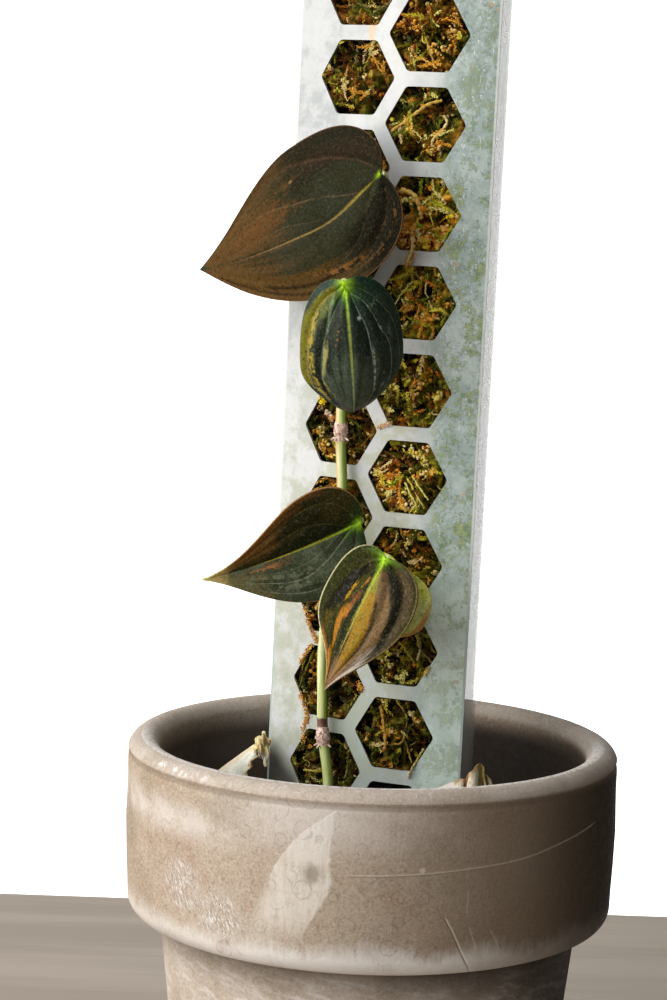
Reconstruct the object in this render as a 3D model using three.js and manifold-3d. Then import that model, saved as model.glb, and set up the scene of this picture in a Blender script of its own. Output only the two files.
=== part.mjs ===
// A climbing velvet-leaf plant on a moss pole, in a clay pot.
// Millimetres, +Z up. The origin is the centre of the pot's base, and -Y is the front.

import * as THREE from 'three';
import { mergeVertices } from 'three/addons/utils/BufferGeometryUtils.js';
import Module from 'manifold-3d';

const wasm = await Module();
wasm.setup();

// Gap kept between two pieces that touch in the real plant.
const GAP = 0.3;

// Pot: a straight collar over a tapered body, with a thick rounded lip.
const POT_HEIGHT = 124;
const POT_SIDES = 48;
const LIP_CENTRE_RADIUS = 64.4;
const LIP_ROUND = 4.5;
const COLLAR_FOOT_Z = 74.5;
const COLLAR_FOOT_CENTRE_RADIUS = 63.4;
const COLLAR_FOOT_ROUND = 4.8;
const BODY_TOP_RADIUS = 59.2;
const BODY_TOP_FILLET = 1.3;
const BASE_RADIUS = 51;
const BASE_BEVEL = 1.5;
const DRAIN_RADIUS = 8;
const FOOT_ARC_STEPS = 4;
const LIP_ARC_STEPS = 8;
// The collar's outer wall is a little hollow under the lip: radius and height.
const COLLAR_WALL = [[68.7, 91], [69.1, 101], [68.8, 113]];
// The pot's inside from the floor up: radius and height.
const INNER_WALL = [[40, 8], [44.5, 13], [52.2, 74.5], [55.2, 82.5], [58.8, 99], [59.8, 115]];

// Soil: how far its surface lies below the lip, and how it rises towards the pole.
const SOIL_BELOW_LIP = 27;
const SOIL_MOUND = 6;
const SOIL_MOUND_SPREAD = 32;
const SOIL_BUMP = 0.9;
const SOIL_SIDES = 40;
const SOIL_TOP_RINGS = 7;
const SOIL_TOP_RADIUS = 58;
const SOIL_WALL_TOP_Z = 90;
// Clearances inside the pot's wall, round the pole and round the stem.
const SOIL_CLEARANCE = 0.5;
const POLE_HOLE_CLEARANCE = 0.4;
const STEM_HOLE_CLEARANCE = 0.6;
// The pole's hole is cut up to this height above the lip, and the stem's hole up to this
// share of the stem's length: both end above the soil.
const POLE_HOLE_TOP = 20;
const STEM_HOLE_SHARE = 0.24;

// Pole sheet: a bowed front panel, a short straight strip at each side, a half-round back.
const POLE_FOOT_Z = 50;
const POLE_TOP_Z = 362;
const POLE_TURN = 23.5;
const POLE_LEAN_FRONT = 0.75;
const POLE_LEAN_RIGHT = 1.03;
const POLE_CREST_X = -4.19;
const POLE_CREST_Y = -5.87;
const PANEL_WIDTH = 60;
const PANEL_BOW_RADIUS = 110;
const SIDE_STRIP = 3.4;
const SHEET_THICKNESS = 0.8;
const POLE_FRONT_STEPS = 12;
const POLE_BACK_STEPS = 18;

// Windows: flat-topped hexagons in two staggered columns.
const WINDOW_ACROSS_FLATS = 20;
const WINDOW_PITCH = 24;
const WINDOW_COLUMN_OFFSET = 10.39;
const WINDOWS_PER_COLUMN = 12;
const RIGHT_TOP_WINDOW_ABOVE_LIP = 219;
const LEFT_TOP_WINDOW_ABOVE_LIP = 207;
const WINDOW_CUT_DEPTH = 8;

// Moss: how far it stays below the sheet's top, and how it fills a window above the soil.
const MOSS_BELOW_TOP = 3;
const LOWEST_PAD_BELOW_LIP = 12;
const MOSS_WINDOW_CLEARANCE = 0.8;
const MOSS_PAD_PROUD = 0.7;
const MOSS_PAD_LUMP = 0.6;
const MOSS_PAD_ROOT = 4;
const MOSS_PAD_FRONT_SCALE = 0.6;

// Stem: a climbing vine with swollen nodes.
const STEM_RADIUS = 1.75;
const NODE_SWELL = 0.55;
const NODE_HALF_LENGTH = 2.6;
const STEM_SIDES = 10;
const STEM_STEP = 6;
const STALK_RADIUS = 0.85;
const STALK_SIDES = 7;
const STALK_STEPS = 8;
const STALK_BEND = 0.4;
const STALK_END_GAP = 1.4;
const NUB_RADIUS = 0.7;
const NUB_REACH = 3.6;
const NUB_BELOW_NODE = 1.2;
const NUB_TAPER = 0.5;
const NUB_SIDES = 6;

// The stem's path on the pole: across the panel, height above the lip, distance off the panel.
const STEM_PATH = [
  [-6.0, -44.0, 9.0],
  [-6.0, -30.0, 6.5],
  [-6.5, -13.2, 4.0],
  [-9.1, 0.7, 3.5],
  [-9.8, 11.2, 3.5],
  [-11.2, 26.1, 3.5],
  [-10.5, 38.9, 3.5],
  [-8.8, 53.2, 3.5],
  [-6.9, 70.2, 3.5],
  [-8.1, 86.8, 3.5],
  [-8.2, 111.6, 3.5],
  [-6.8, 125.4, 3.5],
  [-5.5, 134.0, 4.0],
];
// Nodes that carry only root nubs, above the lip, and the way each nub points:
// across the panel, up the pole, off the panel.
const BARE_NODES = [0.7, 86.8];
const NUB_DIRECTIONS = [[-0.8, -0.5, 0.3], [-0.3, -0.6, 0.8], [0.8, -0.4, 0.2]];

// Leaf blades. Each half has three low quilted bands between its side veins.
const LEAF_THICKNESS = 0.8;
const LEAF_ROWS = 18;
const LEAF_COLUMNS_PER_HALF = 6;
const LEAF_QUILT = 0.25;
const QUILTED_BANDS = 3;
// Rows bunch towards the base by this power, and the outline is widest at this row.
const ROW_BUNCHING = 1.35;
const WIDEST_AT = 0.45;
const MIDRIB_STEPS = 24;
// How full the outline is at its base, lobe, shoulder and tip: the handles of its two spans.
const BASE_FULLNESS = 0.16;
const LOBE_START = 0.9;
const LOBE_END = 1.35;
const SHOULDER = 0.3;
const TIP_FULLNESS = 0.2;

// Each leaf: its base point, the heading of its midrib in the front view (0 right, 90 up),
// how far the midrib points to the front, its roll about the midrib (all in degrees), its
// length and half widths, the three numbers that shape each half's outline, the turn of the
// midrib from base to tip (droop, and curl near the tip), its bend within the blade (sweep),
// and how each half folds away from the face (fold at the midrib, curve out to the edge).
// nodeHeight is where its stalk leaves the stem, above the lip, and stalkStart is the way the
// stalk sets out there: across the panel, up the pole and off the panel.
const LEAVES = [
  {
    name: 'leaf_top', colour: 0x4a3a2c,
    nodeHeight: 129, stalkStart: [0.2, 0.8, 0.5],
    base: [-2.8, -24, 281.2], heading: 225.7, toFront: -16, roll: -16.7, length: 60.8,
    left: { width: 19.9, lobe: 0.03, widest: 0.34, taper: 0.11, fold: -6.4, curve: 14.7 },
    right: { width: 22.6, lobe: 0.13, widest: 0.36, taper: 0.10, fold: 3.6, curve: 7.7 },
    droop: 14, curl: 0, sweep: -35.5,
  },
  {
    name: 'leaf_hanging', colour: 0x26332f,
    nodeHeight: 105, stalkStart: [0.2, 0.6, 0.8],
    base: [-11.5, -36, 252.7], heading: 279.2, toFront: 14, roll: -4.1, length: 48.4,
    left: { width: 17.1, lobe: 0.05, widest: 0.46, taper: 0.21, fold: 9.8, curve: 54 },
    right: { width: 16.3, lobe: 0.06, widest: 0.51, taper: 0.25, fold: 19, curve: 21 },
    droop: 54, curl: 75, sweep: -12.3,
  },
  {
    name: 'leaf_folded', colour: 0x2c2f20,
    nodeHeight: 44, stalkStart: [0.5, 0.6, 0.5],
    base: [-5.2, -22, 187.8], heading: 209.6, toFront: 2, roll: 18.1, length: 46.3,
    left: { width: 16.3, lobe: -0.02, widest: 0.31, taper: 0.23, fold: -11.7, curve: 12.2 },
    right: { width: 15.5, lobe: 0.07, widest: 0.19, taper: 0.36, fold: -16.8, curve: 14.7 },
    droop: 12, curl: 0, sweep: -10.9,
  },
  {
    name: 'leaf_variegated', colour: 0x6b5230,
    nodeHeight: 57.5, stalkStart: [0.95, 0.1, 0.15],
    base: [1.8, -37, 180.0], heading: 243.5, toFront: 6, roll: -21.3, length: 39.4,
    left: { width: 15.2, lobe: 0.04, widest: 0.28, taper: 0.18, fold: -15.7, curve: 12.9 },
    right: { width: 16.5, lobe: 0.07, widest: 0.39, taper: 0.36, fold: 26.1, curve: 8.6 },
    droop: 14, curl: 0, sweep: 2.8,
  },
  {
    name: 'leaf_small_green', colour: 0x6f8a3c,
    nodeHeight: 31, stalkStart: [0.8, 0.5, 0.3],
    base: [5.6, -21, 174.1], heading: 234.1, toFront: 0, roll: -14.7, length: 26.9,
    left: { width: 14.1, lobe: 0.13, widest: 0.32, taper: 0.33, fold: 4.8, curve: 14 },
    right: { width: 11, lobe: 0.12, widest: 0.32, taper: 0.31, fold: 5, curve: 20 },
    droop: 19.8, curl: 0, sweep: 13.8,
  },
];

// Dried sheaths at the pole's foot: each is a papery surface between a foot edge, which
// follows the soil, and a top edge. Points are x, y and, for the top, the height above the base.
const SHEATH_THICKNESS = 0.8;
const SHEATH_ROWS = 5;
const SHEATH_ABOVE_SOIL = 1.7;
// The flutes are half deep at the foot, deepest near the middle and faint at the top.
const FLUTE_START = 0.25;
const FLUTE_SPAN = 0.6;
const LEFT_SHEATH = {
  foot: [[-50, 5], [-44, 2.5], [-38, 1.5]],
  top: [[-34, 9, 119.5], [-32.5, 7.5, 121.5], [-31.2, 6.5, 121.5]],
  columns: 6, flutes: 1, fluteDepth: 0.8,
};
const RIGHT_SHEATH = {
  foot: [[11, -20.5], [19, -24.5], [27, -27], [34, -25], [40, -19], [44, -11]],
  top: [[15, -16.8, 114], [21, -18.5, 116.5], [26.5, -20, 119.5], [29.8, -19.5, 121],
    [33, -16.5, 118], [37.5, -12, 114]],
  columns: 22, flutes: 6, fluteDepth: 0.9,
};

const rad = THREE.MathUtils.degToRad;

// The pole's own frame: X across the panel, -Y out of its front, Z along it, origin on the
// panel's crest at the height of the pot's lip.
const poleFrame = new THREE.Matrix4()
  .makeTranslation(POLE_CREST_X, POLE_CREST_Y, POT_HEIGHT)
  .multiply(new THREE.Matrix4().makeRotationY(rad(POLE_LEAN_RIGHT)))
  .multiply(new THREE.Matrix4().makeRotationX(rad(POLE_LEAN_FRONT)))
  .multiply(new THREE.Matrix4().makeRotationZ(-rad(POLE_TURN)));

// A point given by its arc distance across the panel, its height above the lip along the
// pole, and its distance off the panel.
function onPole(across, height, off) {
  const angle = across / PANEL_BOW_RADIUS;
  const radius = PANEL_BOW_RADIUS + off;
  const local = new THREE.Vector3(
    radius * Math.sin(angle),
    PANEL_BOW_RADIUS - radius * Math.cos(angle),
    height,
  );
  return local.applyMatrix4(poleFrame);
}

// Keeps only position, merges shared vertices and drops triangles that collapse.
function clean(geometry) {
  const bare = geometry.clone();
  bare.deleteAttribute('normal');
  bare.deleteAttribute('uv');
  const merged = mergeVertices(bare, 1e-4);
  const kept = [];
  const index = merged.index.array;
  for (let i = 0; i < index.length; i += 3) {
    const [a, b, c] = [index[i], index[i + 1], index[i + 2]];
    if (a !== b && b !== c && c !== a) {
      kept.push(a, b, c);
    }
  }
  merged.setIndex(kept);
  merged.computeVertexNormals();
  return merged;
}

function toSolid(geometry) {
  const closed = clean(geometry);
  return new wasm.Manifold(new wasm.Mesh({
    numProp: 3,
    vertProperties: new Float32Array(closed.attributes.position.array),
    triVerts: new Uint32Array(closed.index.array),
  }));
}

function toGeometry(solid) {
  const mesh = solid.getMesh();
  const geometry = new THREE.BufferGeometry();
  geometry.setAttribute('position', new THREE.BufferAttribute(mesh.vertProperties, 3));
  geometry.setIndex(new THREE.BufferAttribute(mesh.triVerts, 1));
  geometry.computeVertexNormals();
  return geometry;
}

// A closed skin over rings of points that follow each other, each ring running
// counterclockwise about the direction of travel, with a fan at each end.
function ringsGeometry(rings) {
  const sides = rings[0].length;
  const points = rings.flat();
  const index = [];
  for (let k = 0; k < rings.length - 1; k += 1) {
    for (let i = 0; i < sides; i += 1) {
      const a = k * sides + i;
      const b = k * sides + ((i + 1) % sides);
      index.push(a, b, b + sides, a, b + sides, a + sides);
    }
  }
  const last = (rings.length - 1) * sides;
  const startCentre = points.length;
  points.push(centreOf(rings[0]), centreOf(rings[rings.length - 1]));
  for (let i = 0; i < sides; i += 1) {
    const next = (i + 1) % sides;
    index.push(startCentre, next, i);
    index.push(startCentre + 1, last + i, last + next);
  }
  const geometry = new THREE.BufferGeometry().setFromPoints(points);
  geometry.setIndex(index);
  return geometry;
}

function centreOf(ring) {
  const centre = new THREE.Vector3();
  for (const point of ring) {
    centre.add(point);
  }
  return centre.divideScalar(ring.length);
}

// A round bar along a curve, with a ring of its own radius at each share of its length.
// The reference is a direction that the curve never follows.
function barAlong(curve, shares, sides, reference, radiusAt) {
  const rings = shares.map((share) => {
    const centre = curve.getPointAt(share);
    const travel = curve.getTangentAt(share);
    const side = new THREE.Vector3().crossVectors(travel, reference).normalize();
    const other = new THREE.Vector3().crossVectors(travel, side);
    const radius = radiusAt(share);
    return Array.from({ length: sides }, (_, i) => {
      const angle = (2 * Math.PI * i) / sides;
      return centre.clone()
        .addScaledVector(side, radius * Math.cos(angle))
        .addScaledVector(other, radius * Math.sin(angle));
    });
  });
  return ringsGeometry(rings);
}

function evenShares(steps) {
  return Array.from({ length: steps + 1 }, (_, k) => k / steps);
}

// A surface over a grid of points, rows by columns.
function gridSurface(rows) {
  const columns = rows[0].length;
  const index = [];
  for (let i = 0; i < rows.length - 1; i += 1) {
    for (let j = 0; j < columns - 1; j += 1) {
      const a = i * columns + j;
      const b = a + columns;
      index.push(a, b, b + 1, a, b + 1, a + 1);
    }
  }
  const geometry = new THREE.BufferGeometry().setFromPoints(rows.flat());
  geometry.setIndex(index);
  return clean(geometry);
}

// Turns a surface into a thin solid: the same triangles on both faces, and a wall at the rim.
function thicken(surface, thickness) {
  const position = surface.attributes.position;
  const normal = surface.attributes.normal;
  const index = surface.index.array;
  const count = position.count;
  const points = [];
  for (const side of [0.5, -0.5]) {
    for (let i = 0; i < count; i += 1) {
      const point = new THREE.Vector3().fromBufferAttribute(position, i);
      const away = new THREE.Vector3().fromBufferAttribute(normal, i);
      points.push(point.addScaledVector(away, side * thickness));
    }
  }
  const edges = new Set();
  for (let i = 0; i < index.length; i += 3) {
    for (let k = 0; k < 3; k += 1) {
      edges.add(`${index[i + k]},${index[i + ((k + 1) % 3)]}`);
    }
  }
  const solidIndex = [];
  for (let i = 0; i < index.length; i += 3) {
    const [a, b, c] = [index[i], index[i + 1], index[i + 2]];
    solidIndex.push(a, b, c, c + count, b + count, a + count);
  }
  for (const edge of edges) {
    const [a, b] = edge.split(',').map(Number);
    if (!edges.has(`${b},${a}`)) {
      solidIndex.push(b, a, a + count, b, a + count, b + count);
    }
  }
  const geometry = new THREE.BufferGeometry().setFromPoints(points);
  geometry.setIndex(solidIndex);
  return clean(geometry);
}

function arcPoints(centreR, centreZ, radius, from, to, steps) {
  const points = [];
  for (let i = 0; i <= steps; i += 1) {
    const angle = rad(from + ((to - from) * i) / steps);
    points.push([centreR + radius * Math.cos(angle), centreZ + radius * Math.sin(angle)]);
  }
  return points;
}

// The pot's wall in section, from the drain hole out, up the outside and down the inside.
function potGeometry() {
  const footCentre = COLLAR_FOOT_Z + COLLAR_FOOT_ROUND;
  const section = [
    [DRAIN_RADIUS, 0],
    [BASE_RADIUS - BASE_BEVEL, 0],
    [BASE_RADIUS, BASE_BEVEL],
    [BODY_TOP_RADIUS, COLLAR_FOOT_Z - BODY_TOP_FILLET],
    [BODY_TOP_RADIUS + BODY_TOP_FILLET, COLLAR_FOOT_Z],
    ...arcPoints(COLLAR_FOOT_CENTRE_RADIUS, footCentre, COLLAR_FOOT_ROUND, -90, 0, FOOT_ARC_STEPS),
    ...COLLAR_WALL,
    ...arcPoints(LIP_CENTRE_RADIUS, POT_HEIGHT - LIP_ROUND, LIP_ROUND, 0, 180, LIP_ARC_STEPS),
    ...INNER_WALL.toReversed(),
    [DRAIN_RADIUS, INNER_WALL[0][1]],
  ];
  const profile = section.map(([r, z]) => new THREE.Vector2(r, z));
  profile.push(profile[0].clone());
  return clean(new THREE.LatheGeometry(profile, POT_SIDES).rotateX(Math.PI / 2));
}

// The soil's surface height at a point.
function soilTop(x, y) {
  const fromPole = Math.hypot(x - POLE_CREST_X, y - POLE_CREST_Y);
  const mound = SOIL_MOUND * Math.exp(-((fromPole / SOIL_MOUND_SPREAD) ** 2));
  const bumps = Math.sin(x * 0.31 + 1) * Math.cos(y * 0.27) + Math.sin(x * 0.17 - y * 0.23);
  return POT_HEIGHT - SOIL_BELOW_LIP + mound + SOIL_BUMP * bumps;
}

function soilGeometry() {
  const ringAt = (radius, heightAt) => {
    const ring = [];
    for (let i = 0; i < SOIL_SIDES; i += 1) {
      const angle = (2 * Math.PI * i) / SOIL_SIDES;
      const x = radius * Math.cos(angle);
      const y = radius * Math.sin(angle);
      ring.push(new THREE.Vector3(x, y, heightAt(x, y)));
    }
    return ring;
  };
  const wall = INNER_WALL.filter(([, z]) => z < SOIL_WALL_TOP_Z);
  const rings = wall.map(([r, z]) => ringAt(r - SOIL_CLEARANCE, () => z + SOIL_CLEARANCE));
  const topRadius = SOIL_TOP_RADIUS - SOIL_CLEARANCE;
  for (let k = 0; k < SOIL_TOP_RINGS; k += 1) {
    rings.push(ringAt(topRadius * (1 - k / SOIL_TOP_RINGS), soilTop));
  }
  return ringsGeometry(rings);
}

// The pole's section as a closed outline, drawn in by an inset (or out, if negative).
function poleSection(inset) {
  const halfAngle = PANEL_WIDTH / 2 / PANEL_BOW_RADIUS;
  const halfWidth = PANEL_BOW_RADIUS * Math.sin(halfAngle);
  const creaseDepth = PANEL_BOW_RADIUS * (1 - Math.cos(halfAngle));
  const bowRadius = PANEL_BOW_RADIUS - inset;
  const sideX = halfWidth - inset;
  const edgeAngle = Math.asin(sideX / bowRadius);
  const outline = [];
  for (let i = 0; i <= POLE_FRONT_STEPS; i += 1) {
    const angle = edgeAngle * ((2 * i) / POLE_FRONT_STEPS - 1);
    outline.push(new THREE.Vector2(
      bowRadius * Math.sin(angle),
      PANEL_BOW_RADIUS - bowRadius * Math.cos(angle),
    ));
  }
  for (let i = 0; i <= POLE_BACK_STEPS; i += 1) {
    const angle = (Math.PI * i) / POLE_BACK_STEPS;
    outline.push(new THREE.Vector2(
      sideX * Math.cos(angle),
      creaseDepth + SIDE_STRIP + sideX * Math.sin(angle),
    ));
  }
  return outline;
}

// A straight length of an outline in the pole's frame, between two heights above the lip.
function polePrism(shape, low, high) {
  return new THREE.ExtrudeGeometry(shape, { depth: high - low, bevelEnabled: false })
    .translate(0, 0, low)
    .applyMatrix4(poleFrame);
}

function hexagon(acrossFlats) {
  const corner = acrossFlats / Math.sqrt(3);
  const points = [];
  for (let i = 0; i < 6; i += 1) {
    const angle = (Math.PI * i) / 3;
    points.push(new THREE.Vector2(corner * Math.cos(angle), corner * Math.sin(angle)));
  }
  return points;
}

// Where each window's centre is: across the panel and above the lip.
function windowCentres() {
  const centres = [];
  for (let k = 0; k < WINDOWS_PER_COLUMN; k += 1) {
    centres.push([WINDOW_COLUMN_OFFSET, RIGHT_TOP_WINDOW_ABOVE_LIP - k * WINDOW_PITCH]);
    centres.push([-WINDOW_COLUMN_OFFSET, LEFT_TOP_WINDOW_ABOVE_LIP - k * WINDOW_PITCH]);
  }
  return centres;
}

const poleLow = POLE_FOOT_Z - POT_HEIGHT;
const poleHigh = POLE_TOP_Z - POT_HEIGHT;

function sheetGeometry() {
  const ring = new THREE.Shape(poleSection(0));
  ring.holes.push(new THREE.Path(poleSection(SHEET_THICKNESS)));
  let sheet = toSolid(polePrism(ring, poleLow, poleHigh));
  for (const [across, height] of windowCentres()) {
    const cutter = new THREE.ExtrudeGeometry(
      new THREE.Shape(hexagon(WINDOW_ACROSS_FLATS)),
      { depth: WINDOW_CUT_DEPTH, bevelEnabled: false },
    );
    cutter.translate(0, 0, -WINDOW_CUT_DEPTH / 2).applyMatrix4(windowFrame(across, height));
    sheet = sheet.subtract(toSolid(cutter));
  }
  return toGeometry(sheet);
}

// A frame at a window's centre: X across, Y up the pole, Z out of the panel.
function windowFrame(across, height) {
  const centre = onPole(across, height, 0);
  const out = onPole(across, height, 1).sub(centre).normalize();
  const up = onPole(across, height + 1, 0).sub(centre).normalize();
  const side = new THREE.Vector3().crossVectors(up, out);
  return new THREE.Matrix4().makeBasis(side, up, out).setPosition(centre);
}

// One pad of moss that fills a window: straight inside the sheet, domed and lumpy in front.
function mossPad(across, height, seed) {
  const outline = hexagon(WINDOW_ACROSS_FLATS - 2 * MOSS_WINDOW_CLEARANCE);
  const steps = [
    { scale: 1, level: -MOSS_PAD_ROOT, lumps: 0 },
    { scale: 1, level: -SHEET_THICKNESS, lumps: 0 },
    { scale: MOSS_PAD_FRONT_SCALE, level: MOSS_PAD_PROUD, lumps: MOSS_PAD_LUMP },
  ];
  const rings = steps.map(({ scale, level, lumps }) => outline.map((corner, i) => {
    const lump = lumps * Math.sin(seed * 2.3 + i * 1.9);
    return new THREE.Vector3(corner.x * scale, corner.y * scale, level + lump);
  }));
  return ringsGeometry(rings).applyMatrix4(windowFrame(across, height));
}

function mossGeometry() {
  const core = new THREE.Shape(poleSection(SHEET_THICKNESS + GAP));
  let moss = toSolid(polePrism(core, poleLow, poleHigh - MOSS_BELOW_TOP));
  windowCentres().forEach(([across, height], seed) => {
    if (height > -LOWEST_PAD_BELOW_LIP) {
      moss = moss.add(toSolid(mossPad(across, height, seed)));
    }
  });
  return toGeometry(moss);
}

// One half of a leaf's outline, from the base (t = 0) to the tip (t = 1):
// x runs along the midrib as a share of its length, y out from it as a share of the width.
function halfOutline(half, t) {
  const { lobe, widest, taper } = half;
  if (t <= WIDEST_AT) {
    const points = [
      [0, 0], [-LOBE_START * lobe, BASE_FULLNESS], [-LOBE_END * lobe, 1], [widest, 1],
    ];
    return bezier(points, t / WIDEST_AT);
  }
  const points = [[widest, 1], [widest + SHOULDER, 1], [1 - taper, TIP_FULLNESS], [1, 0]];
  return bezier(points, (t - WIDEST_AT) / (1 - WIDEST_AT));
}

function bezier(points, t) {
  const u = 1 - t;
  const weights = [u * u * u, 3 * t * u * u, 3 * t * t * u, t * t * t];
  const x = weights.reduce((sum, w, i) => sum + w * points[i][0], 0);
  const y = weights.reduce((sum, w, i) => sum + w * points[i][1], 0);
  return [x, y];
}

// The midrib's run along the blade and its fall below the base's plane, at a share of its
// length that may be below zero in the lobes.
function midribAt(leaf, share) {
  let run = 0;
  let fall = 0;
  for (let i = 0; i < MIDRIB_STEPS; i += 1) {
    const angle = midribAngle(leaf, (share * (i + 0.5)) / MIDRIB_STEPS);
    run += (Math.cos(angle) * leaf.length * share) / MIDRIB_STEPS;
    fall += (Math.sin(angle) * leaf.length * share) / MIDRIB_STEPS;
  }
  return { run, fall, angle: midribAngle(leaf, share) };
}

function midribAngle(leaf, share) {
  return rad(leaf.droop) * share + rad(leaf.curl) * Math.max(share, 0) ** 3;
}

// The leaf's own axes: along the midrib, across to the leaf's left, and out of its face.
function leafAxes(leaf) {
  const heading = rad(leaf.heading);
  const toFront = rad(leaf.toFront);
  const roll = rad(leaf.roll);
  const along = new THREE.Vector3(
    Math.cos(heading) * Math.cos(toFront),
    -Math.sin(toFront),
    Math.sin(heading) * Math.cos(toFront),
  );
  const front = new THREE.Vector3(0, -1, 0);
  const upright = front.addScaledVector(along, -front.dot(along)).normalize();
  const level = new THREE.Vector3().crossVectors(upright, along);
  const face = upright.clone().multiplyScalar(Math.cos(roll));
  face.addScaledVector(level, Math.sin(roll));
  const across = new THREE.Vector3().crossVectors(face, along);
  return { along, across, face };
}

// A point of the blade's middle surface. t runs from base to tip, q from the right edge (-1)
// over the midrib (0) to the left edge (1).
function bladePoint(leaf, axes, t, q) {
  const half = q >= 0 ? leaf.left : leaf.right;
  const [outX, outY] = halfOutline(half, t);
  const reach = Math.abs(q);
  const share = t ** ROW_BUNCHING * (1 - reach) + outX * reach;
  const wide = outY * reach;
  const { run, fall, angle } = midribAt(leaf, share);
  const fold = rad(half.fold);
  const curve = rad(half.curve);
  const spread = (half.width * (Math.sin(fold + curve * wide) - Math.sin(fold))) / curve;
  const sink = (half.width * (Math.cos(fold) - Math.cos(fold + curve * wide))) / curve;
  const sweep = rad(leaf.sweep);
  const sideways = Math.sign(q) * spread;
  const band = (1 - Math.cos(2 * Math.PI * QUILTED_BANDS * reach)) / 2;
  const quilt = LEAF_QUILT * Math.sin(Math.PI * t) * band;
  const x = run - sideways * Math.sin(sweep * share) * Math.cos(angle) - sink * Math.sin(angle);
  const y = (leaf.length * sweep * share * share) / 2 + sideways * Math.cos(sweep * share);
  const z = -fall - sink * Math.cos(angle) + quilt;
  return new THREE.Vector3(...leaf.base)
    .addScaledVector(axes.along, x)
    .addScaledVector(axes.across, y)
    .addScaledVector(axes.face, z);
}

function leafGeometry(leaf) {
  const axes = leafAxes(leaf);
  const columns = 2 * LEAF_COLUMNS_PER_HALF;
  const rows = [];
  for (let i = 0; i <= LEAF_ROWS; i += 1) {
    const row = [];
    for (let j = 0; j <= columns; j += 1) {
      row.push(bladePoint(leaf, axes, i / LEAF_ROWS, (2 * j) / columns - 1));
    }
    rows.push(row);
  }
  return thicken(gridSurface(rows), LEAF_THICKNESS);
}

const stemCurve = new THREE.CatmullRomCurve3(STEM_PATH.map((p) => onPole(...p)));

// The share of the stem's length at a height above the lip.
function stemShareAt(height) {
  const halvings = 30;
  let low = 0;
  let high = 1;
  for (let i = 0; i < halvings; i += 1) {
    const middle = (low + high) / 2;
    if (stemCurve.getPointAt(middle).z - POT_HEIGHT < height) {
      low = middle;
    } else {
      high = middle;
    }
  }
  return low;
}

// A direction given in the pole's frame: across the panel, up the pole, off the panel.
function poleDirection([across, up, off]) {
  return new THREE.Vector3(across, -off, up).transformDirection(poleFrame);
}

// The leaf's stalk: out of the stem's node, then straight into the back of the blade's base.
function stalkGeometry(leaf) {
  const start = stemCurve.getPointAt(stemShareAt(leaf.nodeHeight));
  const { face } = leafAxes(leaf);
  const end = new THREE.Vector3(...leaf.base).addScaledVector(face, -STALK_END_GAP);
  const away = poleDirection(leaf.stalkStart);
  const reach = start.distanceTo(end) * STALK_BEND;
  const curve = new THREE.CubicBezierCurve3(
    start,
    start.clone().addScaledVector(away, reach),
    end.clone().addScaledVector(face, -reach),
    end,
  );
  const reference = new THREE.Vector3().crossVectors(away, face);
  return barAlong(curve, evenShares(STALK_STEPS), STALK_SIDES, reference, () => STALK_RADIUS);
}

// A short root nub that stands out of a bare node.
function nubGeometry(height, direction) {
  const start = stemCurve.getPointAt(stemShareAt(height - NUB_BELOW_NODE));
  const way = poleDirection(direction);
  const curve = new THREE.LineCurve3(start, start.clone().addScaledVector(way, NUB_REACH));
  const radiusAt = (share) => NUB_RADIUS * (1 - NUB_TAPER * share);
  return barAlong(curve, [0, 0.7, 1], NUB_SIDES, new THREE.Vector3(0, 0, 1), radiusAt);
}

function stemGeometry() {
  const nodes = [...BARE_NODES, ...LEAVES.map((leaf) => leaf.nodeHeight)].map(stemShareAt);
  const length = stemCurve.getLength();
  const halfNode = NODE_HALF_LENGTH / length;
  const radiusAt = (share) => nodes.reduce((radius, node) => {
    const near = 1 - Math.min(1, Math.abs(share - node) / halfNode);
    return Math.max(radius, STEM_RADIUS + NODE_SWELL * Math.sqrt(near));
  }, STEM_RADIUS);
  const shares = evenShares(Math.round(length / STEM_STEP));
  for (const node of nodes) {
    const own = [-1, -0.5, 0, 0.5, 1].map((step) => node + step * halfNode);
    const clear = shares.filter((share) => Math.abs(share - node) > 1.5 * halfNode);
    shares.splice(0, shares.length, ...clear, ...own);
  }
  shares.sort((a, b) => a - b);
  const across = new THREE.Vector3(1, 0, 0);
  let stem = toSolid(barAlong(stemCurve, shares, STEM_SIDES, across, radiusAt));
  for (const leaf of LEAVES) {
    stem = stem.add(toSolid(stalkGeometry(leaf)));
  }
  for (const height of BARE_NODES) {
    for (const direction of NUB_DIRECTIONS) {
      stem = stem.add(toSolid(nubGeometry(height, direction)));
    }
  }
  return toGeometry(stem);
}

// The hole that the stem stands in.
function stemHole() {
  const foot = stemCurve.getPointAt(0);
  const down = stemCurve.getTangentAt(0).negate();
  const path = new THREE.CatmullRomCurve3([
    foot.clone().addScaledVector(down, STEM_HOLE_CLEARANCE),
    ...evenShares(4).map((share) => stemCurve.getPointAt(share * STEM_HOLE_SHARE)),
  ]);
  const across = new THREE.Vector3(1, 0, 0);
  const radius = STEM_RADIUS + STEM_HOLE_CLEARANCE;
  return barAlong(path, evenShares(12), STEM_SIDES, across, () => radius);
}

function soilWithHoles() {
  const outline = new THREE.Shape(poleSection(-POLE_HOLE_CLEARANCE));
  const poleHole = polePrism(outline, poleLow - GAP, POLE_HOLE_TOP);
  const soil = toSolid(soilGeometry())
    .subtract(toSolid(poleHole))
    .subtract(toSolid(stemHole()));
  return toGeometry(soil);
}

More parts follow.
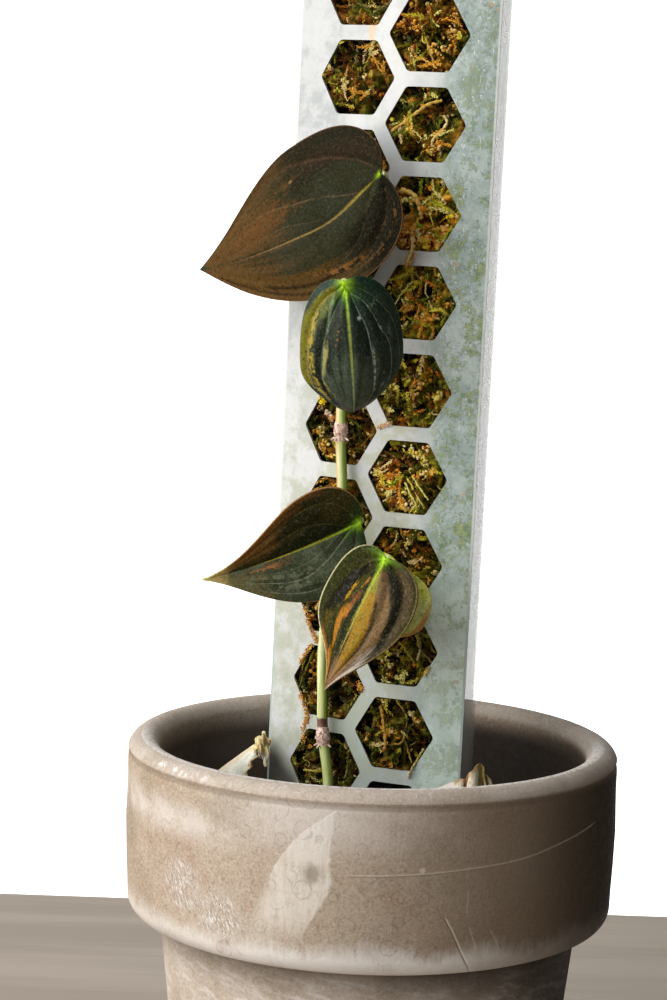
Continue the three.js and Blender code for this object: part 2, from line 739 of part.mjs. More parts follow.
// A fluted papery surface between its foot and top edges.
function sheathGeometry(sheath) {
  const foot = new THREE.CatmullRomCurve3(sheath.foot.map(([x, y]) => (
    new THREE.Vector3(x, y, soilTop(x, y) + SHEATH_ABOVE_SOIL)
  )));
  const top = new THREE.CatmullRomCurve3(sheath.top.map((p) => new THREE.Vector3(...p)));
  const rows = [];
  for (let i = 0; i <= SHEATH_ROWS; i += 1) {
    const rise = i / SHEATH_ROWS;
    const row = [];
    for (let j = 0; j <= sheath.columns; j += 1) {
      const along = j / sheath.columns;
      const flute = sheath.fluteDepth * Math.cos(2 * Math.PI * sheath.flutes * along);
      const point = foot.getPoint(along).lerp(top.getPoint(along), rise);
      point.y -= flute * Math.sin(Math.PI * (FLUTE_START + FLUTE_SPAN * rise));
      row.push(point);
    }
    rows.push(row);
  }
  return thicken(gridSurface(rows), SHEATH_THICKNESS);
}

const material = (color, roughness) => new THREE.MeshStandardMaterial({
  color, roughness, metalness: 0, flatShading: false,
});

const plant = new THREE.Group();

function addPiece(name, geometry, look) {
  const mesh = new THREE.Mesh(geometry, look);
  mesh.name = name;
  plant.add(mesh);
}

addPiece('pot', potGeometry(), material(0x8a7869, 0.85));
addPiece('soil', soilWithHoles(), material(0x2c2119, 0.95));
addPiece('moss_pole_sheet', sheetGeometry(), material(0xb9c3bf, 0.3));
addPiece('moss', mossGeometry(), material(0x4a4a1e, 0.95));
addPiece('vine_stem', stemGeometry(), material(0x7d8c4e, 0.5));
for (const leaf of LEAVES) {
  addPiece(leaf.name, leafGeometry(leaf), material(leaf.colour, 0.6));
}

addPiece('dry_sheath_left', sheathGeometry(LEFT_SHEATH), material(0xb9a98a, 0.8));
addPiece('dry_sheath_right', sheathGeometry(RIGHT_SHEATH), material(0xb39a70, 0.8));

export default plant;
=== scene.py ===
# Dresses the potted climbing plant: clay pot, soil, moss pole, vine, leaves and dry sheaths.
# Metres, in the frame of the solids: +Z up, -Y to the front. Sizes below are in millimetres.

import math

import bpy
import numpy as np
from mathutils import Matrix, Vector, noise


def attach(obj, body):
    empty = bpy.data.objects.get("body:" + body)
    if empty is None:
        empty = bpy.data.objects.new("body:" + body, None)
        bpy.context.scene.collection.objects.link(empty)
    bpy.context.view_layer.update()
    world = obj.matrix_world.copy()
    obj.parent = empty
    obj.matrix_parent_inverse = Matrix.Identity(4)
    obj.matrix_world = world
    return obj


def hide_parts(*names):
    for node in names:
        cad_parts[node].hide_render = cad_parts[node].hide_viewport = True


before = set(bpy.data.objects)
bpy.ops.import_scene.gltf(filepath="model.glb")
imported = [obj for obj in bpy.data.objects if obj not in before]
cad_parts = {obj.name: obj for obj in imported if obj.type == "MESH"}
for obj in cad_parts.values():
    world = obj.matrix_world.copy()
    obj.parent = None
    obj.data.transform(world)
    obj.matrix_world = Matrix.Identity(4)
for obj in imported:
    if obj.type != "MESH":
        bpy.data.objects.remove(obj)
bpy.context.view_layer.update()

MM = 0.001

# Pot.
POT_HEIGHT = 124
BASE_RADIUS = 51
BODY_TOP_RADIUS = 59.2
COLLAR_FOOT_Z = 74.5
LIP_CENTRE_RADIUS = 64.4
LIP_ROUND = 4.5
DRAIN_RADIUS = 8
COLLAR_WALL = [(68.35, 84), (68.7, 91), (69, 101), (68.8, 108), (68.7, 113), (68.75, 117.2)]
# A shallow groove runs round under the lip.
LIP_GROOVE = [(68.7, 118.6), (68.35, 119.7), (68.4, 120.3)]
INNER_WALL = [(40, 8), (44.5, 13), (52.2, 74.5), (55.2, 82.5), (58.8, 99), (59.8, 115)]
POT_STEPS = 144
# Marks on the collar: millimetres round it from its front, and height.
DROP_RINGS = (
    (-35, 118.6, 2.3), (-16.9, 97.3, 2.4), (-5.3, 88.6, 2.2), (-28.4, 86.2, 1.9),
    (-33.3, 110.5, 1.6), (5.6, 83.1, 2.1), (-23.2, 109.8, 1.7), (-9, 96, 1.2),
    (14, 96.5, 1.8), (-2, 109, 1.5), (22, 107, 1.3), (8, 90, 1.4),
)
ARC_SCRATCH = ((-5.7, 101.9), (9, 102.4), (25.3, 103.4), (41.2, 104.6), (55.5, 106.8), (74, 109.5))
SLANT_SCRATCH = ((19.9, 91.2), (22.9, 85.9), (26, 79.5), (30.1, 73.5))
FAINT_SCRATCHES = (
    ((26.2, 98), (26.1, 91.6)), ((27, 88), (30, 80)), ((33, 87), (37, 80)),
)

# Soil.
SOIL_BELOW_LIP = 27
SOIL_MOUND = 6
SOIL_MOUND_SPREAD = 32
SOIL_RADIUS = 57.2
SOIL_LEVEL = 96
SOIL_SIDE = [(54.4, 82), (51.6, 74), (44, 13.4), (39.6, 8.5), (1, 8.5)]
SOIL_RINGS = 60
SOIL_STEPS = 120
SOIL_CRUMBS = 520

# Pole.
POLE_FOOT = -74
POLE_TOP = 237.98
POLE_TURN = 23.5
POLE_LEAN_FRONT = 0.75
POLE_LEAN_RIGHT = 1.03
POLE_CREST = (-4.19, -5.87)
PANEL_WIDTH = 60
PANEL_BOW_RADIUS = 110
PANEL_STEPS = 60
SIDE_STRIP = 3.4
BACK_STEPS = 48
SHEET_THICKNESS = 0.8
SHEET_EDGE_ROUND = 0.22
SIDE_CLOUDINESS = 0.3
WINDOW_ACROSS_FLATS = 20
WINDOW_CORNER_ROUND = 0.75
WINDOW_PITCH = 24
WINDOW_COLUMN_OFFSET = 10.39
WINDOWS_PER_COLUMN = 12
RIGHT_TOP_WINDOW = 219
LEFT_TOP_WINDOW = 207

# Moss. Sizes are in millimetres. A light is painted light, a factor on the tones, and a light of 1 leaves a
# tone as it is.
MOSS_CORE_BELOW_TOP = 6
MOSS_CORE_DEPTH = 6.5
MOSS_CORE_INSET = 5.2
MOSS_CAP_BELOW_TOP = 3.6
MOSS_CAP_INSET = 1.2
MOSS_CAP_SKIRT = 3.2
MOSS_CAP_RINGS = 14
MOSS_CAP_CRUMBS = 420
MOSS_CAP_STRANDS = 110
BRIGHTEST_MOSS = 0.9
MOSS_LUMPS = 17
CRUMBS_PER_LUMP = 6
LOWEST_MOSS_WINDOW = -16
BED_STEPS = 41
SPRIGS_PER_WINDOW = 72
LEAFLETS_PER_SPRIG = 26
STRANDS_PER_WINDOW = 24
STRAND_RADII = (0.1, 0.3)
CRUMB_SIZES = (0.2, 0.62)
CLUMP_CRUMBS = 20
CLUMP_CRUMB_SIZES = (0.25, 0.6)
FRINGE_CRUMBS = 10
FRINGE_CRUMB_SIZES = (0.08, 0.26)
FRINGE_LIGHT = 1.4
MOST_SUN = 2.2
CAP_CRUMB_SIZES = (0.2, 0.6)
CAP_STRAND_RADII = (0.12, 0.32)
CAP_LIGHT = 0.75
# How rusty the moss is in each window, from the top one down, and its painted light: above 1 it brightens a
# window that the leaves shade, below 1 it darkens one.
MOSS_LOOK_RIGHT = (
    (0.6, 1), (0.75, 1.25), (0.35, 1.5), (0.45, 3), (0.3, 1.8),
    (0.25, 1.65), (0.2, 1.9), (0.3, 1.35), (0.25, 0.95), (0.4, 0.85),
)
MOSS_LOOK_LEFT = (
    (0.6, 1), (0.55, 0.9), (0.5, 0.9), (0.5, 0.9), (0.5, 0.9),
    (0.55, 0.9), (0.5, 0.8), (0.4, 0.7), (0.35, 0.6), (0.3, 0.5),
)
# Clumps of crumbled moss: across, height, spread and tone.
MOSS_CLUMPS = (
    (17.7, 200.1, 1.6, "gold"), (15.4, 191, 1.5, "gold"), (12.3, 190.9, 1.6, "gold"),
    (16.3, 195.6, 1.3, "gold"), (2.1, 197.6, 1.2, "rust"), (4.8, 196.8, 1.3, "rust"),
    (7.5, 196.4, 1.2, "rust"), (-20.2, 184.5, 1.2, "rust"), (-15.7, 182.2, 1.4, "rust"),
    (-11.3, 180.4, 1.2, "rust"), (15, 166, 1.1, "gold"), (13.1, 163.8, 1.2, "rust"),
    (5.9, 142.4, 1.2, "gold"), (8.1, 142.3, 1.2, "gold"), (10.4, 141.6, 1.4, "pale"),
    (11.8, 140, 1.2, "gold"), (5.7, 138.9, 1.1, "rust"), (16.2, 138.6, 1, "gold"),
    (16.9, 140.3, 1.1, "pale"), (17.2, 143, 0.9, "gold"), (19.6, 142.9, 0.9, "pale"),
    (11.4, 118.7, 0.9, "gold"), (13.4, 118.5, 1, "gold"), (15.7, 119.4, 0.9, "gold"),
    (7.8, 123.5, 1.1, "rust"), (9.1, 121.7, 0.9, "rust"), (19.8, 123.2, 0.9, "rust"),
    (12.6, 100.9, 0.9, "gold"), (11, 98, 0.8, "gold"), (10.9, 94.8, 0.7, "gold"),
    (18.1, 97.8, 1, "pale"), (11.3, 82.4, 0.9, "pale"), (13.4, 81.5, 1.1, "pale"),
    (15.5, 79.7, 1, "pale"), (1.4, 75.2, 1, "pale"), (3.4, 73.1, 1.1, "gold"),
    (5.1, 74.4, 0.9, "gold"), (7.9, 75.2, 0.8, "gold"), (8.9, 68.7, 0.8, "gold"),
    (2.3, 70.8, 0.9, "rust"), (10.2, 66.6, 0.8, "gold"), (6.7, 59, 0.8, "rust"),
    (14.8, 59.7, 0.8, "rust"), (11.8, 56.7, 0.8, "pale"), (16.1, 52.6, 0.8, "gold"),
    (19.9, 49.1, 0.7, "pale"), (9.9, 26, 0.7, "pale"), (8.5, 22.1, 0.7, "pale"),
    (8.2, 19.3, 0.7, "rust"), (15.2, 9.3, 0.7, "pale"), (16.2, 8, 0.6, "gold"),
    (17.5, 7, 0.5, "gold"), (2.7, 2.1, 0.6, "gold"), (2.5, 0.1, 0.6, "gold"),
    (-15.3, 82.2, 1, "gold"), (-16.2, 81, 0.9, "gold"), (-17.1, 85.1, 0.8, "pale"),
    (-17.4, 91.9, 0.7, "blush"), (-15.1, 90.6, 0.8, "blush"), (-13.7, 89.6, 0.7, "blush"),
    (-6.5, 80.5, 0.7, "rust"), (-17.7, 5.2, 0.8, "rust"), (-17.7, -1.5, 0.8, "rust"),
    (-17, 33, 0.9, "rust"), (-14.8, 36, 0.9, "gold"), (-7.8, 6.1, 0.6, "pale"),
)
# Moss that has spilled out over the sheet's webs, along lines of (across, height).
MOSS_FRINGES = (
    (((9, 138.3), (8.7, 136.1), (7.9, 134.1), (8.5, 131.6)), 0.6, "gold"),
    (((-18.9, 35.2), (-17.3, 30.8), (-15.3, 27.5), (-13.6, 25.6)), 0.4, "amber"),
    (((-16, 25), (-17.8, 22.6), (-19.8, 19.4)), 0.3, "amber"),
    (((-18.9, 10.1), (-17.3, 6.8), (-16.3, 4), (-17.3, 1.6), (-17.6, -2.9)), 0.5, "amber"),
    (((1.9, 88.3), (3.7, 89), (5.1, 89.4)), 0.3, "blush"),
    (((-0.4, 15.8), (0.2, 14.2)), 0.45, "amber"),
    (((-16.9, 94.3), (-16, 93.6)), 0.5, "yellow"),
    (((19.9, 23), (18.5, 20.6)), 0.3, "pale"),
)
# Single strands that catch the eye: the points they run through, thickness and tone.
MOSS_TWIGS = (
    (((9.3, 194.3, -0.4), (11, 190.2, 0.1), (12.6, 186.2, -0.3)), 0.4, "straw"),
    (((0.8, 168.9, -0.8), (7.6, 173.7, 0.2), (11, 176.2, 0.3), (14.8, 177.7, -0.2)), 0.55, "straw"),
    (((15.6, 173.5, -0.5), (16.5, 171.4, 0), (13.1, 167.3, -0.2), (12.6, 165.1, -0.6)), 0.45, "gold"),
    (((4.6, 153.4, -0.6), (8.5, 152, 0.1), (10.1, 148.6, -0.1), (10.6, 146, -0.8)), 0.75, "gold"),
    (((5, 151, -1), (4.4, 148, -0.4), (5, 145.2, -0.8)), 0.4, "gold"),
    (((8.7, 140, -0.2), (8.7, 137.1, 0.5), (7.9, 134.6, 0.5), (7.2, 132.2, -0.2)), 0.5, "gold"),
    (((4, 124.6, -1), (9, 123.2, -0.2), (14, 124.4, -0.6)), 0.5, "green"),
    (((10.6, 74.9, -0.3), (13.2, 71, 0), (15.9, 67, -0.3)), 0.35, "pale"),
    (((12, 75.6, -0.3), (14.5, 72.3, 0), (16.9, 69.3, -0.3)), 0.3, "green"),
    (((9.8, 73.7, -0.4), (12.1, 70, 0), (14.2, 66.4, -0.3)), 0.3, "green"),
    (((8.6, 74.7, -0.2), (8.7, 70.5, 0.1), (9.6, 66.5, -0.2)), 0.45, "gold"),
    (((15.6, 31.6, -0.4), (16.5, 30, 0.2), (16.8, 28.4, 0.1)), 0.75, "pale"),
    (((16.9, 27.6, -0.4), (16.4, 25.5, -0.1), (16.2, 24.4, -0.4)), 0.4, "pale"),
    (((6.1, 10.5, -0.4), (7, 8, -0.1), (7.6, 5, 0.1), (8.4, 0.3, 0.1), (7.7, -2.1, -0.4)), 0.7,
     "amber"),
    (((10.7, 12.5, -0.6), (13.8, 8.6, -0.4), (13.8, 4.3, -0.5), (12.8, 0.8, -0.5), (9.9, -0.1, -0.7)),
     0.32, "straw"),
    (((19.2, -0.2, -0.5), (18, -3, -0.1), (16.6, -5.6, 0.5), (15.5, -8.6, 0.5)), 0.42, "straw"),
    (((12.9, 3, -1.4), (14.6, -1, -1), (16, -4.6, -0.8)), 0.3, "straw"),
    (((18.2, 17.4, 0.2), (19.1, 16.2, 0.3)), 0.3, "blush"),
    (((-20.5, 11.1, -0.5), (-18, 17, -0.1), (-15.7, 23.3, -0.5)), 0.35, "green"),
    (((-17, -11.4, -0.3), (-13.5, -10.9, 0), (-10.8, -10.8, -0.3)), 0.45, "pale"),
)

# Stem: across the panel, above the lip, off the panel.
STEM_PATH = [
    (-6, -44, 9), (-6, -30, 6.5), (-6.5, -13.2, 4), (-9.1, 0.7, 3.5),
    (-9.8, 11.2, 3.5), (-10.3, 26.1, 3.5), (-7.7, 38.9, 3.5), (-7.2, 53.2, 3.5),
    (-6.9, 70.2, 3.5), (-8.1, 86.8, 3.5), (-8.2, 111.6, 3.5), (-6.8, 125.4, 3.5),
    (-5.5, 134, 4),
]
STEM_RADIUS = 1.5
NODE_SWELL = 0.55
NODE_HALF_LENGTH = 2.6
STALK_RADIUS = 0.85
NUB_LENGTH = 3.1
CRUST_CRUMBS = 20
BARE_NODES = (0.7, 86.8)
# A dark band rings the stem a little above the lower bare node.
DARK_BAND = 4.1
DARK_BAND_HALF = 1.8
NUB_DIRECTIONS = ((-0.8, -0.5, 0.3), (-0.3, -0.6, 0.8), (0.8, -0.4, 0.2))

# Leaves: the base's place, heading, to_front and roll in degrees, length, the two halves as
# (width, lobe, widest, taper, fold, curve), then droop, curl and sweep in degrees. node is the
# height above the lip at which the stalk leaves the stem. stalk is the way it sets off (across,
# up, off the panel) and how far behind the blade it comes in.
LEAVES = {
    "leaf_top": dict(
        base=(-2.8, -24, 281.2), heading=225.7, to_front=-16, roll=-16.7, length=60.8,
        left=(19.9, 0.03, 0.34, 0.11, -6.4, 14.7), right=(22.6, 0.13, 0.36, 0.10, 3.6, 7.7),
        droop=14, curl=0, sweep=-35.5, node=129, stalk=(0.2, 0.8, 0.5, 0.4)),
    "leaf_hanging": dict(
        base=(-11.5, -36, 252.7), heading=279.2, to_front=14, roll=-4.1, length=48.4,
        left=(17.1, 0.05, 0.46, 0.21, 9.8, 54), right=(16.3, 0.06, 0.51, 0.25, 19, 21),
        droop=54, curl=75, sweep=-12.3, node=105, stalk=(0.2, 0.6, 0.8, 0.4)),
    "leaf_folded": dict(
        base=(-5.2, -22, 187.8), heading=209.6, to_front=2, roll=18.1, length=46.3,
        left=(16.3, -0.02, 0.31, 0.23, -11.7, 12.2), right=(15.5, 0.07, 0.19, 0.36, -16.8, 14.7),
        droop=12, curl=0, sweep=-10.9, node=44, stalk=(0.5, 0.6, 0.5, 0.4)),
    "leaf_variegated": dict(
        base=(1.8, -37, 180), heading=243.5, to_front=6, roll=-21.3, length=39.4,
        left=(15.2, 0.04, 0.28, 0.18, -15.7, 12.9), right=(16.5, 0.07, 0.39, 0.36, 26.1, 8.6),
        droop=14, curl=0, sweep=2.8, node=57.5, stalk=(0.7, -0.7, 0.1, 0.1)),
    "leaf_small_green": dict(
        base=(5.6, -21, 174.1), heading=234.1, to_front=0, roll=-14.7, length=26.9,
        left=(14.1, 0.13, 0.32, 0.33, 4.8, 14), right=(11, 0.12, 0.32, 0.31, 5, 20),
        droop=19.8, curl=0, sweep=13.8, node=31, stalk=(0.8, 0.5, 0.3, 0.3)),
}
LEAF_THICKNESS = 0.7
LEAF_ROWS = 96
LEAF_COLUMNS = 72
WIDEST_AT = 0.45

# Dry sheaths.
PAPER_THICKNESS = 0.45

# Camera, in metres, degrees and millimetres of lens.
CAMERA_PLACE = (0, -0.71088, 0.27525)
CAMERA_PITCH = 6.784
CAMERA_YAW = -1.059
CAMERA_ROLL = 1.72
CAMERA_LENS = 92.39
CAMERA_FRAME = 36

# Table top and studio, in metres and in light.
TABLE_BACK = 0.265
TABLE_FRONT = -3
TABLE_WIDTH = 6
WALL_WHITE = (2, 2.02, 2.02)
ROOM_DIM = (0.1, 0.102, 0.105)
ROOM_LEFT = (0.4, 0.41, 0.42)
LIGHT_PLACE = (-1.28, -0.6, 0.95)
LIGHT_AIM = (0, 0, 0.2)
LIGHT_SIZE = 2.2
LIGHT_POWER = 50
LIGHT_COLOUR = (1, 0.985, 0.955)

rng = np.random.default_rng(7)


# Hand tools


def fresh():
    """Leaves edit mode and deselects everything."""
    active = bpy.context.view_layer.objects.active
    if active and active.mode != "OBJECT":
        bpy.ops.object.mode_set(mode="OBJECT")
    bpy.ops.object.select_all(action="DESELECT")


def pick(*objects):
    fresh()
    for each in objects:
        each.select_set(True)
    bpy.context.view_layer.objects.active = objects[0]


def apply_modifier(piece, kind, **settings):
    pick(piece)
    modifier = piece.modifiers.new(kind, kind)
    for key, value in settings.items():
        setattr(modifier, key, value)
    bpy.ops.object.modifier_apply(modifier=modifier.name)


def edit_whole(piece, operator, **settings):
    """Runs one edit operator on all of a piece."""
    pick(piece)
    bpy.ops.object.mode_set(mode="EDIT")
    bpy.ops.mesh.select_all(action="SELECT")
    operator(**settings)
    bpy.ops.object.mode_set(mode="OBJECT")


def joined(objects):
    pick(*objects)
    bpy.ops.object.join()
    return bpy.context.object


def dress(piece, name, node, finish, smooth):
    """Names a piece, smooths it, paints it and hides the solid it stands for."""
    pick(piece)
    bpy.ops.object.transform_apply()
    bpy.ops.object.shade_smooth_by_angle(angle=math.radians(smooth))
    piece.name = name
    piece.data.name = name
    piece.data.materials.clear()
    piece.data.materials.append(finish)
    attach(piece, "root")
    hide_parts(node)
    return piece


def start_chain(point):
    """A lone vertex in edit mode, ready to be drawn out."""
    fresh()
    bpy.ops.mesh.primitive_plane_add(size=MM)
    bpy.ops.object.mode_set(mode="EDIT")
    bpy.ops.mesh.select_all(action="SELECT")
    bpy.ops.mesh.merge(type="CENTER")
    bpy.ops.transform.translate(value=Vector(point) * MM)
    return bpy.context.object


def draw_out(step):
    """Draws the selection out by a step in millimetres."""
    bpy.ops.mesh.extrude_region_move(TRANSFORM_OT_translate={"value": Vector(step) * MM})


def draw_chain(points):
    """Draws an outline out from its first point to its last. Points are in millimetres."""
    piece = start_chain(points[0])
    for here, there in zip(points, points[1:]):
        draw_out(Vector(there) - Vector(here))
    bpy.ops.mesh.select_all(action="SELECT")
    return piece


def close_up():
    """Merges doubles and turns faces outwards, then leaves edit mode."""
    bpy.ops.mesh.select_all(action="SELECT")
    bpy.ops.mesh.remove_doubles(threshold=1e-6)
    bpy.ops.mesh.normals_make_consistent(inside=False)
    bpy.ops.object.mode_set(mode="OBJECT")


def turned(outline, steps):
    """A wall turned round the Z axis from a closed outline of (radius, height)."""
    piece = draw_chain([(r, 0, z) for r, z in outline] + [(outline[0][0], 0, outline[0][1])])
    bpy.ops.mesh.spin(steps=steps, angle=2 * math.pi, center=(0, 0, 0), axis=(0, 0, 1))
    close_up()
    return piece


def arc(centre_r, centre_z, radius, start, end, steps):
    angles = [math.radians(start + (end - start) * k / steps) for k in range(steps + 1)]
    return [(centre_r + radius * math.cos(a), centre_z + radius * math.sin(a)) for a in angles]


def placed(name, data):
    """A new object for a mesh, curve, light or camera."""
    made = bpy.data.objects.new(name, data)
    bpy.context.collection.objects.link(made)
    return made


def from_points(name, points, faces):
    """A mesh from arrays of points (millimetres) and faces."""
    mesh = bpy.data.meshes.new(name)
    mesh.from_pydata((np.asarray(points) * MM).tolist(), [], [list(f) for f in faces])
    return placed(name, mesh)


def crumb_ball():
    """The points and faces of one round crumb of twenty faces, a millimetre in radius."""
    fresh()
    bpy.ops.mesh.primitive_ico_sphere_add(subdivisions=1, radius=1)
    first = bpy.context.object
    points = np.array([v.co for v in first.data.vertices])
    faces = np.array([p.vertices for p in first.data.polygons])
    bpy.data.objects.remove(first)
    return points, faces


def strewn(name, crumbs, faces):
    """One mesh of many crumbs, each an array of points, that all have the same faces."""
    all_faces = [faces + k * len(crumbs[0]) for k in range(len(crumbs))]
    return from_points(name, np.concatenate(crumbs), np.concatenate(all_faces))


def note_values(piece, **layers):
    """Keeps numbers at the points of a piece, for its finish to read."""
    for name, values in layers.items():
        layer = piece.data.attributes.new(name, "FLOAT", "POINT")
        layer.data.foreach_set("value", values.astype(np.float32))


# Paint


class Finish:
    """A material built up from nodes that read the piece's own coordinates."""

    def __init__(self, name, **shader):
        self.material = bpy.data.materials.new(name)
        self.material.use_nodes = True
        self.tree = self.material.node_tree
        self.shader = self.tree.nodes["Principled BSDF"]
        for socket, value in shader.items():
            self.shader.inputs[socket.replace("_", " ")].default_value = value
        self.colour = None

    def put(self, socket, value):
        """Sets or links a socket. A colour may be a six-figure screen code."""
        if isinstance(value, str):
            value = tone(value)
        if isinstance(value, bpy.types.NodeSocket):
            self.tree.links.new(value, socket)
        elif socket.type == "RGBA" and len(value) == 3:
            socket.default_value = (*value, 1)
        else:
            socket.default_value = value

    def node(self, kind, inputs, output=0, **settings):
        made = self.tree.nodes.new(kind)
        for key, value in settings.items():
            setattr(made, key, value)
        for socket, value in inputs.items():
            self.put(made.inputs[socket], value)
        return made.outputs[output]

    def noted(self, name):
        """A number kept at the points of the piece."""
        return self.node("ShaderNodeAttribute", {}, "Fac", attribute_name=name)

    def place(self):
        return self.node("ShaderNodeTexCoord", {}, "Object")

    def calc(self, operation, *values):
        return self.node("ShaderNodeMath", dict(enumerate(values)), operation=operation)

    def split(self, vector):
        made = self.tree.nodes.new("ShaderNodeSeparateXYZ")
        self.put(made.inputs[0], vector)
        return made.outputs

    def stretch(self, vector, scale, turn=(0, 0, 0)):
        return self.node("ShaderNodeMapping", {"Vector": vector, "Scale": scale, "Rotation": turn})

    def cloud(self, vector, scale, detail=3, rough=0.55):
        inputs = {"Vector": vector, "Scale": scale, "Detail": detail, "Roughness": rough}
        return self.node("ShaderNodeTexNoise", inputs)

    def cells(self, vector, scale, jitter=1):
        inputs = {"Vector": vector, "Scale": scale, "Randomness": jitter}
        return self.node("ShaderNodeTexVoronoi", inputs, "Distance")

    def rise(self, value, low, high, start=0, end=1):
        """A smooth step from start to end as the value goes from low to high."""
        inputs = {"Value": value, "From Min": low, "From Max": high, "To Min": start,
                  "To Max": end}
        return self.node("ShaderNodeMapRange", inputs, interpolation_type="SMOOTHSTEP")

    def band(self, value, low, high, soft):
        up = self.rise(value, low - soft, low + soft)
        down = self.rise(value, high - soft, high + soft, 1, 0)
        return self.times(up, down)

    def gather(self, operation, values):
        """Takes each value in turn into the first."""
        total = values[0]
        for value in values[1:]:
            total = self.calc(operation, total, value)
        return total

    def add(self, *values):
        return self.gather("ADD", values)

    def times(self, *values):
        return self.gather("MULTIPLY", values)

    def most(self, *values):
        return self.gather("MAXIMUM", values)

    def less(self, first, second):
        return self.calc("SUBTRACT", first, second)

    def sway(self, value, size):
        """Centres a value of 0 to 1 on zero and gives it a size."""
        return self.times(self.less(value, 0.5), size)

    def wander(self, vector, scale, size, detail=3):
        """Noise that strays about zero by up to about half its size."""
        return self.sway(self.cloud(vector, scale, detail, 0.6), size)

    def drawn(self, value, points):
        """A smooth curve through points of 0 to 1, and the curve's own mapping."""
        made = self.tree.nodes.new("ShaderNodeFloatCurve")
        self.put(made.inputs["Value"], value)
        curve = made.mapping.curves[0]
        curve.points[0].location = points[0]
        curve.points[1].location = points[-1]
        for spot in points[1:-1]:
            curve.points.new(*spot)
        made.mapping.update()
        return made.outputs["Value"], made.mapping

    def mix(self, share, first, second):
        made = self.tree.nodes.new("ShaderNodeMix")
        made.data_type = "RGBA"
        self.put(made.inputs["Factor"], share)
        self.put(made.inputs[6], first)
        self.put(made.inputs[7], second)
        return made.outputs[2]

    def lay(self, share, colour):
        """Lays a colour over what is there, as thickly as its share says."""
        self.colour = self.mix(share, self.colour, colour)

    def paint(self, roughness=None):
        """Gives the shader the colour laid so far, and a roughness that varies."""
        self.put(self.shader.inputs["Base Color"], self.colour)
        if roughness is not None:
            self.put(self.shader.inputs["Roughness"], roughness)

    def emboss(self, height, depth_mm, strength=1):
        inputs = {"Height": height, "Distance": depth_mm * MM, "Strength": strength}
        self.put(self.shader.inputs["Normal"], self.node("ShaderNodeBump", inputs))


def tone(code):
    """A colour from its six-figure screen code."""
    parts = [int(code[i:i + 2], 16) / 255 for i in (0, 2, 4)]
    return tuple(p / 12.92 if p < 0.04045 else ((p + 0.055) / 1.055) ** 2.4 for p in parts)


# Places on the pole

POLE = (
    Matrix.Translation(Vector((*POLE_CREST, POT_HEIGHT)))
    @ Matrix.Rotation(math.radians(POLE_LEAN_RIGHT), 4, "Y")
    @ Matrix.Rotation(math.radians(POLE_LEAN_FRONT), 4, "X")
    @ Matrix.Rotation(-math.radians(POLE_TURN), 4, "Z")
)
POLE_ARRAY = np.array(POLE)


def on_pole(across, height, off):
    """Points on the panel: arc distance across, height above the lip, distance off it."""
    across, height, off = np.broadcast_arrays(*(np.asarray(v, float) for v in (across, height, off)))
    angle = across / PANEL_BOW_RADIUS
    radius = PANEL_BOW_RADIUS + off
    local = np.stack([
        radius * np.sin(angle),
        PANEL_BOW_RADIUS - radius * np.cos(angle),
        height,
    ], axis=-1)
    return local @ POLE_ARRAY[:3, :3].T + POLE_ARRAY[:3, 3]


def pole_way(across, up, off):
    """A direction of unit length, given across the panel, up it and off it."""
    return np.array(POLE.to_3x3() @ Vector((across, -off, up)).normalized())


def pole_section(inset, front_inset=None):
    """The pole's outline across, drawn in by an inset, with the front's own inset."""
    front_inset = inset if front_inset is None else front_inset
    half_angle = PANEL_WIDTH / 2 / PANEL_BOW_RADIUS
    half_width = PANEL_BOW_RADIUS * math.sin(half_angle)
    crease_depth = PANEL_BOW_RADIUS * (1 - math.cos(half_angle))
    side_x = half_width - inset
    bow = PANEL_BOW_RADIUS - front_inset
    edge = math.asin(side_x / bow)
    front = [edge * (2 * k / PANEL_STEPS - 1) for k in range(PANEL_STEPS + 1)]
    points = [(bow * math.sin(a), PANEL_BOW_RADIUS - bow * math.cos(a)) for a in front]
    for k in range(BACK_STEPS + 1):
        angle = math.pi * k / BACK_STEPS
        back = crease_depth + SIDE_STRIP + side_x * math.sin(angle)
        points.append((side_x * math.cos(angle), back))
    return points


def window_centres():
    rows = range(WINDOWS_PER_COLUMN)
    right = [(WINDOW_COLUMN_OFFSET, RIGHT_TOP_WINDOW - k * WINDOW_PITCH) for k in rows]
    left = [(-WINDOW_COLUMN_OFFSET, LEFT_TOP_WINDOW - k * WINDOW_PITCH) for k in rows]
    return right + left


def window_frame(across, height):
    """X across, Y up the pole, Z out of the panel, at a window's centre."""
    centre = Vector(on_pole(across, height, 0))
    out = (Vector(on_pole(across, height, 1)) - centre).normalized()
    up = (Vector(on_pole(across, height + 1, 0)) - centre).normalized()
    side = up.cross(out)
    turn = Matrix((side, up, out)).transposed().to_4x4()
    return Matrix.Translation(centre) @ turn


def stand_on_pole(piece):
    """Moves a piece modelled in the pole's own frame to its place."""
    place = POLE.copy()
    place.translation = place.translation * MM
    piece.matrix_world = place
    pick(piece)
    bpy.ops.object.transform_apply()


# Pot


